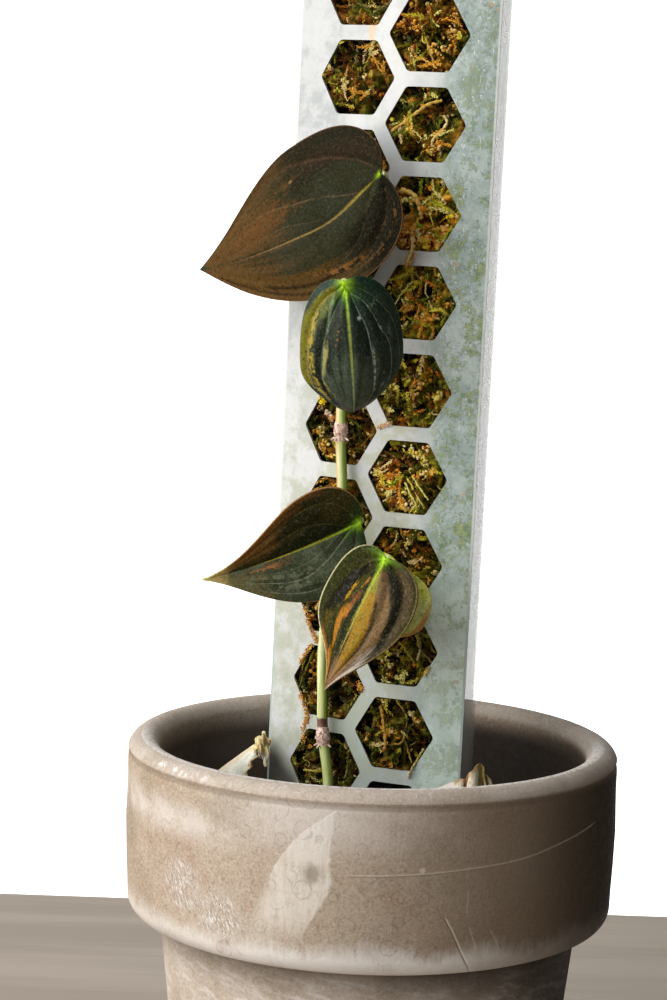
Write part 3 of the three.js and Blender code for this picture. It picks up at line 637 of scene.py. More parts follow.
def make_pot():
    foot_centre = COLLAR_FOOT_Z + 4.8
    outline = [
        (DRAIN_RADIUS, 0.6), (DRAIN_RADIUS + 0.6, 0), (BASE_RADIUS - 2.2, 0),
        *arc(BASE_RADIUS - 2.2, 2, 2, -80, -10, 4),
        (52, 10), (53.4, 24), (55, 38), (56.6, 52), (58.2, 66),
        (BODY_TOP_RADIUS - 0.3, COLLAR_FOOT_Z - 2.2),
        *arc(60.8, COLLAR_FOOT_Z - 1.7, 1.7, 170, 95, 4),
        *arc(63.4, foot_centre, 4.8, -92, -2, 9),
        *COLLAR_WALL,
        *LIP_GROOVE,
        *arc(LIP_CENTRE_RADIUS, POT_HEIGHT - LIP_ROUND, LIP_ROUND, 18, 180, 16),
        *reversed(INNER_WALL),
        (DRAIN_RADIUS + 0.6, 8), (DRAIN_RADIUS, 7.4),
    ]
    return dress(turned(outline, POT_STEPS), "pot_clay", "pot", clay_finish(), 40)


class ClayFinish(Finish):
    """Dusty clay. Marks are placed by girth (mm round the collar from its front) and level."""

    def __init__(self):
        super().__init__("clay", Roughness=0.85, Specular_IOR_Level=0.3)
        self.spot = self.place()
        x, y, z = self.split(self.spot)
        self.x, self.y = x, y
        self.radius = self.calc("SQRT", self.add(self.times(x, x), self.times(y, y)))
        self.level = self.times(z, 1000)
        self.girth = self.times(self.calc("ARCTAN2", x, self.times(y, -1)), 68)
        self.ragged = self.wander(self.spot, 150, 3, 4)
        self.fine_ragged = self.wander(self.spot, 600, 1.2)

    def disc_distance(self, girth, level, ragged):
        across = self.less(self.girth, girth)
        up = self.less(self.level, level)
        away = self.calc("SQRT", self.add(self.times(across, across), self.times(up, up)))
        return self.add(away, self.times(self.fine_ragged, ragged))

    def scratch(self, points, wide, upright):
        """A line through (girth, level) points that runs round the pot or up it."""
        girths, levels = zip(*points)
        runs, values = (levels, girths) if upright else (girths, levels)
        low, high = min(runs), max(runs)
        least, span = min(values), max(max(values) - min(values), 0.5)
        shares = sorted(((r - low) / (high - low), (v - least) / span) for r, v in zip(runs, values))
        run, value = (self.level, self.girth) if upright else (self.girth, self.level)
        share = self.calc("DIVIDE", self.less(run, low), high - low)
        drawn, _ = self.drawn(share, shares)
        gap = self.less(value, self.add(self.times(drawn, span), least))
        ends = self.band(share, 0.02, 0.98, 0.03)
        return self.times(self.band(gap, -wide, wide, wide), ends)


def clay_finish():
    f = ClayFinish()
    spot, level, girth = f.spot, f.level, f.girth
    wide = f.cloud(spot, 20, 4, 0.6)
    patchy = f.cloud(spot, 55, 5, 0.65)
    grain = f.cloud(spot, 1400, 2, 0.7)
    fine = f.cloud(spot, 480, 4, 0.7)
    crystals = f.cloud(f.stretch(spot, (700, 700, 160), (0.25, 0.15, 0)), 1, 4, 0.75)
    f.colour = f.mix(f.rise(wide, 0.38, 0.62), "a8947e", "b8a795")
    f.lay(f.rise(patchy, 0.5, 0.7, 0, 0.5), "a88672")
    f.lay(f.rise(patchy, 0.5, 0.32, 0, 0.4), "8f8373")
    f.lay(f.rise(fine, 0.52, 0.68, 0, 0.4), "857462")
    f.lay(f.rise(grain, 0.54, 0.66, 0, 0.45), "d3c7b6")
    f.lay(f.rise(grain, 0.46, 0.34, 0, 0.45), "74665a")
    # Painted shade: the pot darkens toward its right side, most at the far right of the collar and on the
    # body below it.
    shade_to_right = f.times(f.rise(f.x, -0.028, 0.06, 0, 0.9), f.rise(level, 123, 118.5, 0.25, 1))
    on_outside = f.rise(f.radius, 0.0655, 0.067)
    f.lay(f.times(shade_to_right, on_outside), "71604e")
    f.lay(f.times(f.rise(f.x, 0.038, 0.066), f.rise(level, 122, 118), 0.92), "33291f")
    f.lay(f.times(f.rise(f.x, 0.012, 0.05), f.rise(level, 80, 73), 0.9), "1d1610")

    # The pale wedge narrows up to a point on the front of the collar.
    share = f.times(f.less(level, 80), 1 / 40)
    left, _ = f.drawn(share, [(0, 1), (0.17, 0.86), (0.395, 0.71), (0.725, 0.51), (0.968, 0.22)])
    right, _ = f.drawn(share, [(0, 0.42), (0.18, 0.38), (0.45, 0.243), (0.645, 0.248), (0.968, 0.21)])
    from_left = f.add(girth, f.times(left, 40), f.times(f.ragged, 0.3), f.fine_ragged)
    to_right = f.add(f.times(girth, -1), f.times(right, -40), f.times(f.ragged, 0.8), f.fine_ragged)
    wedge = f.times(f.rise(from_left, -0.3, f.rise(level, 104, 86, 0.5, 8)),
                    f.rise(to_right, -0.4, 0.8), f.rise(level, 119.5, 118))
    wedge = f.times(wedge, f.rise(level, 78, 92), on_outside)
    wedge = f.times(wedge, f.rise(fine, 0.25, 0.5, 0.55, 0.95))
    wedge_strokes = f.cloud(f.stretch(spot, (420, 420, 90), (0, 0.75, 0)), 1, 3, 0.7)
    wedge = f.times(wedge, f.rise(wedge_strokes, 0.3, 0.6, 0.65, 1))
    f.lay(wedge, "ddd5ca")
    f.lay(f.rise(f.disc_distance(-14.4, 101.8, 2.5), 0.5, 4, 0.65, 0), "7c6c5a")

    # Mineral bloom: thick on the collar's rounded foot, feathery above it at the left. Painted highlights
    # are laid with it: soft bands under the lip at the left, which are partly bloom, the rim's top at the
    # left, a line along the rim's inner edge and glinting specks on the rim.
    edge = f.add(level, f.sway(crystals, 5), f.sway(patchy, 12), f.ragged)
    side_fade = f.times(f.rise(f.x, 0.012, 0.06, 1, 0.15), f.rise(f.x, -0.02, -0.06, 1, 0.62))
    foot = f.times(f.rise(edge, 84.5, 77.5), f.rise(level, 74.3, 75.6), side_fade)
    foot = f.times(foot, f.rise(patchy, 0.25, 0.5, 0.7, 1))
    leaning = f.node("ShaderNodeCombineXYZ", {
        "X": f.add(girth, f.times(level, 0.55), f.ragged),
        "Y": f.times(f.add(level, f.times(girth, -0.55)), 0.16), "Z": 3})
    slanted = f.stretch(leaning, (1, 1, 1), (0, 0, 0.13))
    frost = f.most(f.cloud(leaning, 1.7, 4, 0.75), f.cloud(slanted, 2.3, 3, 0.7))
    feathers = f.most(
        f.rise(f.disc_distance(-55, 92, 3), 10, 3),
        f.rise(f.disc_distance(-41, 86, 3), 10, 3),
    )
    feathers = f.times(feathers, f.rise(frost, 0.51, 0.6))
    # Bands of bloom and painted highlight under the lip at the left.
    band_left = f.times(f.rise(f.x, -0.02, -0.046), f.band(level, 106, 114, 4))
    band_left = f.times(band_left, f.rise(patchy, 0.35, 0.6, 0.1, 0.6))
    under_lip = f.times(f.rise(level, 103, 115), f.rise(f.x, -0.055, -0.02), f.rise(f.x, 0.036, -0.014))
    under_lip = f.times(under_lip, f.rise(patchy, 0.35, 0.6, 0.32, 0.62))
    under_lip = f.times(under_lip, f.rise(level, 120.6, 119, 0.35, 1))
    lip_haze = f.times(f.rise(level, 119.8, 121.8), f.rise(patchy, 0.35, 0.6, 0.18, 0.34))
    sloping = f.node("ShaderNodeCombineXYZ", {
        "X": f.times(girth, 0.09), "Y": f.times(f.add(level, f.times(girth, 0.14), f.ragged), 0.45), "Z": 5})
    trails = f.cloud(sloping, 1, 5, 0.75)
    body = f.times(f.rise(level, 73.5, 71.5), f.rise(trails, 0.46, 0.62, 0.4, 1))
    body = f.times(body, f.rise(patchy, 0.38, 0.58, 0.3, 0.85), side_fade)
    # Painted highlights: the rim's top at the left, which is partly wear, a line along its inner edge and
    # glinting specks.
    rim_left_wear_and_highlight = f.times(f.band(girth, -70, -46, 4), f.band(level, 121.3, 123.2, 0.8))
    rim_left_wear_and_highlight = f.times(rim_left_wear_and_highlight, f.rise(f.cloud(spot, 330, 4, 0.7), 0.46, 0.56))
    inner_rim_highlight = f.times(f.band(f.radius, 0.0616, 0.0652, 0.0004), f.rise(f.y, 0.02, -0.01))
    inner_rim_highlight = f.times(inner_rim_highlight, f.rise(f.cloud(spot, 700, 3, 0.75), 0.36, 0.5, 0.3, 1))
    rim_glint_specks = f.times(f.rise(level, 121, 122.5), f.rise(fine, 0.52, 0.6))
    rim_glint_specks = f.times(rim_glint_specks, f.rise(patchy, 0.4, 0.6), 0.6)
    bloom_and_highlights = f.most(foot, feathers, band_left, under_lip, lip_haze, body, rim_left_wear_and_highlight, inner_rim_highlight, rim_glint_specks)
    f.lay(f.times(bloom_and_highlights, 0.9), "e6e1dc")

    # Dried drops have left small rings.
    rings = []
    for ring_girth, ring_level, size in DROP_RINGS:
        away = f.disc_distance(ring_girth, ring_level, 1.5)
        rings.append(f.band(away, size - 0.12, size + 0.12, 0.2))
    drops = f.cells(f.stretch(spot, (1, 1, 0.85)), 190, 0.9)
    small = f.times(f.band(drops, 0.4, 0.44, 0.03), f.rise(patchy, 0.5, 0.58), on_outside)
    rings = f.most(f.times(f.most(*rings), 0.5), f.times(small, 0.35))
    # Painted shade darkens the groove under the lip.
    groove = f.times(f.band(level, 118.9, 120.4, 0.35), on_outside)
    f.lay(f.times(groove, 0.35), "5c4d3f")
    rings = f.times(rings, f.rise(fine, 0.35, 0.55, 0.35, 1))
    f.lay(rings, "6d5d4c")

    long_arc = f.scratch(ARC_SCRATCH, 0.22, False)
    slant = f.scratch(SLANT_SCRATCH, 0.3, True)
    faint = f.most(*(f.scratch(points, 0.18, True) for points in FAINT_SCRATCHES))
    chip = f.rise(f.disc_distance(13.8, 103.6, 1.2), 0.3, 0.9, 1, 0)
    marks = f.most(f.times(long_arc, 0.5), f.times(slant, 0.7), f.times(faint, 0.35), f.times(chip, 0.6))
    f.lay(marks, "cfc4b4")

    inside = f.times(f.rise(f.radius, 0.0622, 0.06), f.rise(level, 60, 80), f.rise(level, 121.5, 114))
    f.lay(f.times(inside, 0.88), "4a3d34")
    shaded = f.times(inside, f.rise(f.x, -0.01, 0.02), f.rise(f.x, 0.06, 0.045, 0.4, 0.85))
    f.lay(shaded, "261e17")
    f.paint(f.rise(f.add(fine, f.times(bloom_and_highlights, -0.2)), 0.3, 0.7, 0.9, 0.65))
    relief = f.add(f.times(fine, 0.5), f.times(grain, 0.3), f.times(crystals, 0.25))
    relief = f.add(relief, f.times(f.calc("SINE", f.times(level, 1.7)), 0.03), f.times(wedge, 0.4))
    relief = f.add(relief, f.times(bloom_and_highlights, 0.3), f.times(slant, -1.2), f.times(long_arc, 0.9))
    f.emboss(relief, 0.3, 0.75)
    return f.material


# Soil


def soil_top(x, y):
    away = math.hypot(x - POLE_CREST[0], y - POLE_CREST[1])
    mound = SOIL_MOUND * math.exp(-((away / SOIL_MOUND_SPREAD) ** 2))
    here = Vector((x, y, 0))
    crumbs = 1.7 * (noise.noise(here * 0.22) + 0.7 * noise.noise(here * 0.6))
    return POT_HEIGHT - SOIL_BELOW_LIP + mound + crumbs


def make_soil():
    rings = [SOIL_RADIUS * k / SOIL_RINGS for k in range(1, SOIL_RINGS + 1)]
    top = [(0.4, SOIL_LEVEL)] + [(r, SOIL_LEVEL) for r in rings]
    soil = turned(top + SOIL_SIDE + [(0.4, SOIL_SIDE[-1][1])], SOIL_STEPS)
    for vertex in soil.data.vertices:
        spot = vertex.co / MM
        if spot.z > SOIL_LEVEL - 1:
            vertex.co.z = soil_top(spot.x, spot.y) * MM
    points, faces = crumb_ball()
    crumbs = []
    for _ in range(SOIL_CRUMBS):
        reach = SOIL_RADIUS * 0.97 * math.sqrt(rng.random())
        angle = rng.random() * 2 * math.pi
        x, y = reach * math.cos(angle), reach * math.sin(angle)
        size = rng.uniform(0.5, 1.7) * rng.uniform(0.5, 1.2, 3)
        lumpy = points * size * rng.uniform(0.75, 1.2, (len(points), 1))
        turn = np.array(Matrix.Rotation(angle * 3, 3, Vector(rng.normal(size=3)).normalized()))
        crumbs.append(lumpy @ turn.T + (x, y, soil_top(x, y) + 0.2))
    soil = joined([soil, strewn("crumbs", crumbs, faces)])
    return dress(soil, "soil_fill", "soil", soil_finish(), 40)


def soil_finish():
    f = Finish("soil", Roughness=0.95)
    place = f.place()
    coarse = f.cloud(place, 160, 4, 0.65)
    fine = f.cloud(place, 900, 3, 0.7)
    chips = f.cells(place, 420)
    f.colour = f.mix(f.rise(coarse, 0.38, 0.62), "1d140d", "4a3625")
    f.lay(f.rise(chips, 0.15, 0.3, 0.6, 0), "6b4f34")
    f.lay(f.rise(fine, 0.55, 0.8), "0f0a07")
    f.paint()
    f.emboss(f.add(fine, chips), 0.6)
    return f.material


# Pole


def make_sheet():
    outline = pole_section(0)
    sheet = draw_chain([(x, y, POLE_FOOT) for x, y in outline + outline[:1]])
    draw_out((0, 0, POLE_TOP - POLE_FOOT))
    close_up()
    apply_modifier(sheet, "SOLIDIFY", thickness=SHEET_THICKNESS * MM, offset=-1, use_even_offset=True)
    stand_on_pole(sheet)
    cutter = joined(window_cutters())
    apply_modifier(sheet, "BOOLEAN", operation="DIFFERENCE", solver="EXACT", object=cutter)
    bpy.data.objects.remove(cutter)
    apply_modifier(sheet, "BEVEL", width=SHEET_EDGE_ROUND * MM, segments=2, limit_method="ANGLE",
                   angle_limit=math.radians(50))
    return dress(sheet, "pole_sheet", "moss_pole_sheet", plastic_finish(), 0.2)


def window_cutters():
    """One rounded hexagonal cutter, copied to each window."""
    fresh()
    corner = WINDOW_ACROSS_FLATS / math.sqrt(3)
    bpy.ops.mesh.primitive_cylinder_add(vertices=6, radius=corner * MM, depth=6 * MM)
    first = bpy.context.object
    bpy.ops.object.mode_set(mode="EDIT")
    bpy.ops.mesh.select_mode(type="EDGE")
    bpy.ops.mesh.select_all(action="DESELECT")
    bpy.ops.object.mode_set(mode="OBJECT")
    for edge in first.data.edges:
        ends = [first.data.vertices[i].co for i in edge.vertices]
        edge.select = abs(ends[0].z - ends[1].z) > MM
    bpy.ops.object.mode_set(mode="EDIT")
    bpy.ops.mesh.bevel(offset=WINDOW_CORNER_ROUND * MM, segments=5)
    bpy.ops.mesh.select_mode(type="VERT")
    bpy.ops.object.mode_set(mode="OBJECT")
    flat_top = Matrix.Rotation(math.radians(90), 4, "Z")
    copies = []
    for across, height in window_centres():
        copy = placed("window", first.data.copy())
        place = window_frame(across, height)
        place.translation = place.translation * MM
        copy.matrix_world = place @ flat_top
        copies.append(copy)
    bpy.data.objects.remove(first)
    return copies


def pole_coordinates(f, place):
    """Across the panel, back from its crest and up from the lip, in the pole's own millimetres."""
    centred = f.node("ShaderNodeVectorMath", {0: place, 1: POLE.translation * MM}, operation="SUBTRACT")
    axes = [POLE.col[k].to_3d() for k in range(3)]
    parts = [f.node("ShaderNodeVectorMath", {0: centred, 1: axis}, "Value", operation="DOT_PRODUCT")
             for axis in axes]
    return [f.times(part, 1000) for part in parts]


def plastic_finish():
    f = Finish("clear_plastic", Roughness=0.3, IOR=1.49, Coat_Weight=0.2, Coat_Roughness=0.25)
    place = f.place()
    across, deep, level = pole_coordinates(f, place)
    big = f.cloud(place, 42, 5, 0.65)
    middling = f.cloud(place, 120, 5, 0.7)
    small = f.cloud(f.stretch(place, (1, 1, 1), (0.4, 0.2, 0.9)), 850, 4, 0.8)
    other = f.cloud(f.stretch(place, (1, 1, 1), (1.4, 0.7, 0.3)), 560, 5, 0.8)
    patches = f.cloud(f.stretch(place, (1, 1, 1), (0.9, 1.7, 0.5)), 170, 3, 0.6)
    hair = f.cloud(f.stretch(place, (1900, 1900, 260), (0.5, 0.6, 0)), 1, 3, 0.7)
    milky = f.mix(f.rise(big, 0.4, 0.62), "dcdede", "c6cacc")
    fogged = f.mix(f.rise(middling, 0.36, 0.62), "bccac6", "9eb0ac")
    side = f.add(across, f.sway(middling, 14))
    f.colour = f.mix(f.rise(side, 9, 20), milky, fogged)

    # Grime gathers low on the webs and at the left margin.
    lowness = f.rise(level, 130, 30)
    grime = f.rise(f.add(middling, f.times(lowness, 0.12)), 0.5, 0.66, 0, 0.75)
    grime = f.times(grime, f.rise(across, 18, 8), f.rise(level, 215, 110, 0.25, 1))
    f.lay(grime, "bcc0a0")
    smudge = f.times(f.rise(other, 0.56, 0.66), f.rise(across, -14, -20), 0.5)
    f.lay(smudge, "9aa59a")
    blue = f.times(f.rise(level, 40, 0), f.rise(f.calc("ABSOLUTE", across), 20, 6), 0.5)
    f.lay(blue, "a5b5b1")
    upper_left = f.times(f.rise(level, 40, 190, 0.35, 0.8), f.rise(across, -8, -18))
    f.lay(upper_left, f.mix(f.rise(middling, 0.42, 0.6), "c0c2c2", "9ea4a6"))
    stain_gap = f.add(f.calc("ABSOLUTE", f.add(across, 6.4)), f.sway(other, 3))
    stain = f.times(f.rise(stain_gap, 1.6, 0.4), f.band(level, 189, 198.5, 1), 0.65)
    f.lay(stain, "e8c08c")

    # Moss shows through the right margin as green and dark mottles.
    margin = f.rise(f.add(across, f.sway(other, 9)), 15, 20.5)
    amount = f.times(f.rise(level, 10, 70, 0.5, 1), f.rise(level, 140, 200, 1, 0.5))
    dark = f.times(f.rise(f.add(other, f.sway(patches, 0.5)), 0.49, 0.6), margin, 0.6)
    f.lay(dark, "6c7c7c")
    # Painted light lifts the right margin low down, where the leaves cast their shade.
    painted_light_low = f.times(f.rise(level, 70, 30), f.rise(middling, 0.35, 0.6, 1, 0.7))
    f.lay(f.times(painted_light_low, margin), "dff0e6")
    leafy = f.rise(f.add(small, f.sway(patches, 0.9)), 0.5, 0.6)
    green = f.mix(f.rise(other, 0.42, 0.58), "527334", "b2bc6c")
    f.lay(f.times(leafy, margin, amount, 0.7), green)
    flecks = f.most(f.rise(hair, 0.64, 0.72), f.rise(f.less(1, small), 0.62, 0.68))
    flecks = f.times(flecks, f.rise(across, 6, 20), f.rise(level, 60, 180, 0.5, 0.95))
    f.lay(flecks, "f7faf8")
    f.lay(f.times(f.rise(f.cells(place, 95), 0.08, 0.05), margin, 0.6), "c9a070")

    # The left foot of the sheet is in the shade of the dry sheath.
    to_corner = f.add(level, f.times(f.add(across, 30), 0.8), f.sway(middling, 8))
    corner_shade = f.times(f.rise(to_corner, 0, -9), f.rise(across, -17, -20), 0.88)
    f.lay(corner_shade, "38342f")

    # A painted highlight brightens the fold at the panel's edge. The clear sides and back start behind it.
    behind = f.rise(deep, 4.15, 4.4)
    faint = f.rise(middling, 0.55, 0.68, 0, 0.45)
    f.lay(behind, f.mix(faint, "f2f4ec", "9fa89a"))
    crease_highlight = f.times(f.band(f.calc("ABSOLUTE", across), 29, 29.9, 0.15), f.rise(deep, 4.6, 4.3))
    f.lay(crease_highlight, f.mix(f.rise(level, 20, 60), "b4c4be", "d6dedb"))
    f.paint(f.rise(big, 0.3, 0.7, 0.22, 0.42))
    f.put(f.shader.inputs["Alpha"], f.rise(deep, 4.15, 4.4, 1, SIDE_CLOUDINESS))
    relief = f.add(big, f.times(middling, 0.5), f.times(leafy, margin, 0.3))
    f.emboss(relief, 0.35, 0.6)
    return f.material


def make_moss_core():
    """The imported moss, which stands back from the sheet's sides and back."""
    outline = pole_section(MOSS_CORE_INSET, MOSS_CORE_DEPTH)
    core = draw_chain([(x, y, POLE_FOOT) for x, y in outline + outline[:1]])
    bpy.ops.mesh.remove_doubles(threshold=1e-6)
    bpy.ops.mesh.edge_face_add()
    draw_out((0, 0, POLE_TOP - MOSS_CORE_BELOW_TOP - POLE_FOOT))
    close_up()
    stand_on_pole(core)
    return dress(core, "moss_core", "moss", moss_ground(), 30)


def moss_ground():
    f = Finish("moss_ground", Roughness=1)
    place = f.place()
    clumps = f.cloud(place, 260, 5, 0.75)
    patches = f.cloud(place, 90, 4, 0.6)
    f.colour = f.mix(f.rise(patches, 0.4, 0.6), "3d3a16", "4a3115")
    f.colour = f.mix(f.rise(clumps, 0.42, 0.62), "0d0a05", f.colour)
    f.lay(f.rise(clumps, 0.62, 0.72), "96743a")
    f.paint()
    f.emboss(clumps, 2.5)
    return f.material


MOSS_TONES = {
    "green": ("5a6210", "86841a", "ac9c24", "d4c444", "343c0c", "ecdf80"),
    "rust": ("88500f", "b4701c", "d8982e", "eeb850", "4c2a08", "f8d890"),
    "gold": ("f0b040", "fad070", "d89030", "f8dc94"),
    "amber": ("c88a34", "dca448", "b8782c", "e4b458", "c08438"),
    "pale": ("f0dc88", "dcc65c", "f8eab4", "bca848"),
    "blush": ("f0cca0", "dca878", "f6dcbc"),
    "yellow": ("f4dc2c", "e8c420"),
    "straw": ("f4d480", "dcb458"),
}


def moss_tones(kind, count):
    tones = np.array([tone(code) for code in MOSS_TONES[kind]])
    return tones[rng.integers(0, len(tones), count)]


def clump_noise(across, height, scale, seed):
    return np.array([
        noise.noise(Vector((a * scale, h * scale, seed))) for a, h in zip(across, height)
    ])


def in_window(x, y, inset):
    """True where a point, measured from a window's centre, lies in the hexagon."""
    half = WINDOW_ACROSS_FLATS / 2 - inset
    slant = np.abs(x) * math.sin(math.radians(60)) + np.abs(y) * 0.5
    return (np.abs(y) < half) & (slant < half)


def hold_in(x, y, depth, inset=0.35, inside=0.3, outside=-1.25):
    """Keeps moss behind the sheet outside a window and near its face inside it."""
    return np.minimum(depth, np.where(in_window(x, y, inset), inside, outside))


def unit(vectors):
    return vectors / (np.linalg.norm(vectors, axis=-1, keepdims=True) + 1e-9)


class MossHeap:
    """Gathers the points, faces and tints of one piece of moss."""

    def __init__(self):
        self.points = []
        self.faces = []
        self.tints = []
        self.count = 0

    def add(self, centre, local, faces, tints, held=True):
        flat = np.asarray(local).reshape(-1, 3)
        depth = hold_in(flat[:, 0], flat[:, 1], flat[:, 2]) if held else flat[:, 2]
        self.points.append(on_pole(centre[0] + flat[:, 0], centre[1] + flat[:, 1], depth))
        self.faces.extend((faces.reshape(-1, faces.shape[-1]) + self.count).tolist())
        self.tints.append(np.asarray(tints).reshape(-1, 3))
        self.count += len(flat)

    def make(self, name):
        piece = from_points(name, np.concatenate(self.points), self.faces)
        layer = piece.data.color_attributes.new("tint", "FLOAT_COLOR", "POINT")
        tints = np.concatenate(self.tints)
        tints = tints * (BRIGHTEST_MOSS / np.maximum(tints.max(axis=1, keepdims=True), BRIGHTEST_MOSS))
        rows = np.concatenate([tints, np.ones((len(tints), 1))], axis=1)
        layer.data.foreach_set("color", rows.astype(np.float32).ravel())
        return dress(piece, name, "moss", moss_finish(), 50)


def wandering_paths(spot, way, length, steps, wander):
    """Paths that start at spots and stray as they go: count, steps + 1, 3."""
    path = [spot]
    way = unit(way)
    for _ in range(steps):
        way = unit(way + rng.normal(size=way.shape) * wander)
        path.append(path[-1] + way * (length / steps)[:, None])
    return np.stack(path, axis=1)


def path_frames(path):
    travel = unit(np.gradient(path, axis=1))
    side = unit(np.cross(travel, rng.normal(size=(len(path), 1, 3))))
    return travel, side, np.cross(travel, side)


def tubes(path, radius, sides=3):
    """Open tubes round paths: their points, and quads between the rings."""
    _, side, other = path_frames(path)
    angles = 2 * math.pi * np.arange(sides) / sides
    ring = np.cos(angles)[:, None] * side[:, :, None] + np.sin(angles)[:, None] * other[:, :, None]
    points = path[:, :, None] + ring * radius[:, :, None, None]
    count, rows = path.shape[:2]
    start = (np.arange(count) * rows * sides)[:, None, None]
    row = (np.arange(rows - 1) * sides)[None, :, None]
    corner = np.arange(sides)[None, None, :]
    a = start + row + corner
    b = start + row + (corner + 1) % sides
    return points, np.stack([a, b, b + sides, a + sides], axis=-1)


def mounds(centre, x, y):
    """How far the moss swells out or sinks in at places in a window, in millimetres."""
    across, height = centre[0] + x, centre[1] + y
    swell = 3.6 * clump_noise(across, height, 0.25, 7.7) + 1.8 * clump_noise(across, height, 0.8, 1.4)
    return np.clip(swell - 0.9, -3.4, 0.4)


def matted_tones(share, green, rust):
    share = np.clip(share, 0, 1)[:, None]
    return (1 - share) * np.array(tone(green)) + share * np.array(tone(rust))


def moss_bed(heap, centre, warmth, light):
    """A lumpy floor of matted moss that closes the window a little behind the sheet."""
    steps = np.linspace(-12.5, 12.5, BED_STEPS)
    x, y = np.meshgrid(steps, steps)
    x, y = x.ravel(), y.ravel()
    lumps = mounds(centre, x, y)
    crumbs = clump_noise(centre[0] + x, centre[1] + y, 1.3, 5.5)
    depth = -1.6 + lumps + 1.2 * crumbs
    rust = clump_noise(centre[0] + x, centre[1] + y, 0.22, 8.8)
    tints = matted_tones(warmth + 1.6 * rust, "78741c", "965e18")
    shade = np.clip(0.75 + 0.26 * lumps + crumbs, 0.02, 1.2)[:, None]
    row, column = np.meshgrid(np.arange(BED_STEPS - 1), np.arange(BED_STEPS - 1), indexing="ij")
    a = (row * BED_STEPS + column).ravel()
    faces = np.stack([a, a + 1, a + BED_STEPS + 1, a + BED_STEPS], axis=-1)
    heap.add(centre, np.stack([x, y, depth], axis=1), faces, tints * shade * light)


def scattered(count):
    """Places spread over a window and a little past its edges."""
    x = rng.uniform(-12, 12, count * 2)
    y = rng.uniform(-11, 11, count * 2)
    keep = in_window(x, y, -0.8)
    return x[keep][:count], y[keep][:count]


def tones_by_place(centre, x, y, warmth):
    """A tone for each place: greener or rustier by the clump it lies in."""
    rust = np.clip(warmth + 1.7 * clump_noise(centre[0] + x, centre[1] + y, 0.19, 3.3), 0, 1)
    pick_rust = rng.random(len(x)) < rust
    return np.where(pick_rust[:, None], moss_tones("rust", len(x)), moss_tones("green", len(x)))


def deep_shade(depth):
    return np.clip(1 + depth / 4.2, 0.05, 1) ** 1.7


def moss_sprigs(heap, centre, warmth, light):
    """Short leafy shoots: a stem with small pointed leaflets all round it."""
    x, y = scattered(SPRIGS_PER_WINDOW)
    count = len(x)
    depth = rng.uniform(-1.5, 0.1, count) + mounds(centre, x, y)
    spot = np.stack([x, y, depth], axis=1)
    way = rng.normal(size=(count, 3)) * (1, 1, 0.3) + (0, -0.2, 0.25)
    path = wandering_paths(spot, way, rng.uniform(3.5, 8.5, count), 6, 0.2)
    tones = tones_by_place(centre, x, y, warmth) * light
    radius = np.linspace(0.2, 0.1, 7) * np.ones((count, 1))
    points, faces = tubes(path, radius)
    shade = deep_shade(path[..., 2])
    tints = tones[:, None, None] * (shade * 0.7)[..., None, None] * np.ones((1, 1, 3, 1))
    heap.add(centre, points, faces, tints)

    along = np.linspace(0.4, 5.9, LEAFLETS_PER_SPRIG)
    low = along.astype(int)
    part = (along - low)[None, :, None]
    travel, side, other = path_frames(path)
    root = path[:, low] * (1 - part) + path[:, low + 1] * part
    turn = 2.4 * np.arange(LEAFLETS_PER_SPRIG)[None, :, None] + rng.uniform(0, 6, (count, 1, 1))
    outward = np.cos(turn) * side[:, low] + np.sin(turn) * other[:, low]
    axis = unit(outward * 0.8 + travel[:, low] * rng.uniform(0.4, 0.9, (count, LEAFLETS_PER_SPRIG, 1)))
    breadth = np.cross(travel[:, low], outward)
    long = rng.uniform(0.7, 1.35, (count, 1, 1)) * (1.15 - 0.11 * along)[None, :, None]
    corners = np.stack([
        root,
        root + axis * long * 0.5 + breadth * long * 0.3,
        root + axis * long + travel[:, low] * long * 0.25,
        root + axis * long * 0.5 - breadth * long * 0.3,
    ], axis=2)
    shade = deep_shade(root[..., 2]) * (0.65 + 0.1 * along)[None, :]
    corner_shade = np.array([0.55, 1, 1.35, 1])
    tints = tones[:, None, None] * shade[..., None, None] * corner_shade[None, None, :, None]
    faces = np.arange(count * LEAFLETS_PER_SPRIG * 4).reshape(-1, 4)
    heap.add(centre, corners, faces, tints)


def moss_strands(heap, centre, warmth, light):
    """Bare fibres that curl through the rest."""
    x, y = scattered(STRANDS_PER_WINDOW)
    count = len(x)
    depth = rng.uniform(-1, 0.2, count) + mounds(centre, x, y)
    spot = np.stack([x, y, depth], axis=1)
    way = rng.normal(size=(count, 3)) * (1, 1, 0.35)
    path = wandering_paths(spot, way, rng.uniform(2, 5.5, count), 7, 0.5)
    radius = rng.uniform(*STRAND_RADII, (count, 1)) * np.linspace(1, 0.5, 8)
    points, faces = tubes(path, radius)
    tones = tones_by_place(centre, x, y, warmth) * light * rng.uniform(0.8, 1.5, (count, 1))
    tints = tones[:, None, None] * deep_shade(path[..., 2])[..., None, None] * np.ones((1, 1, 3, 1))
    heap.add(centre, points, faces, tints)


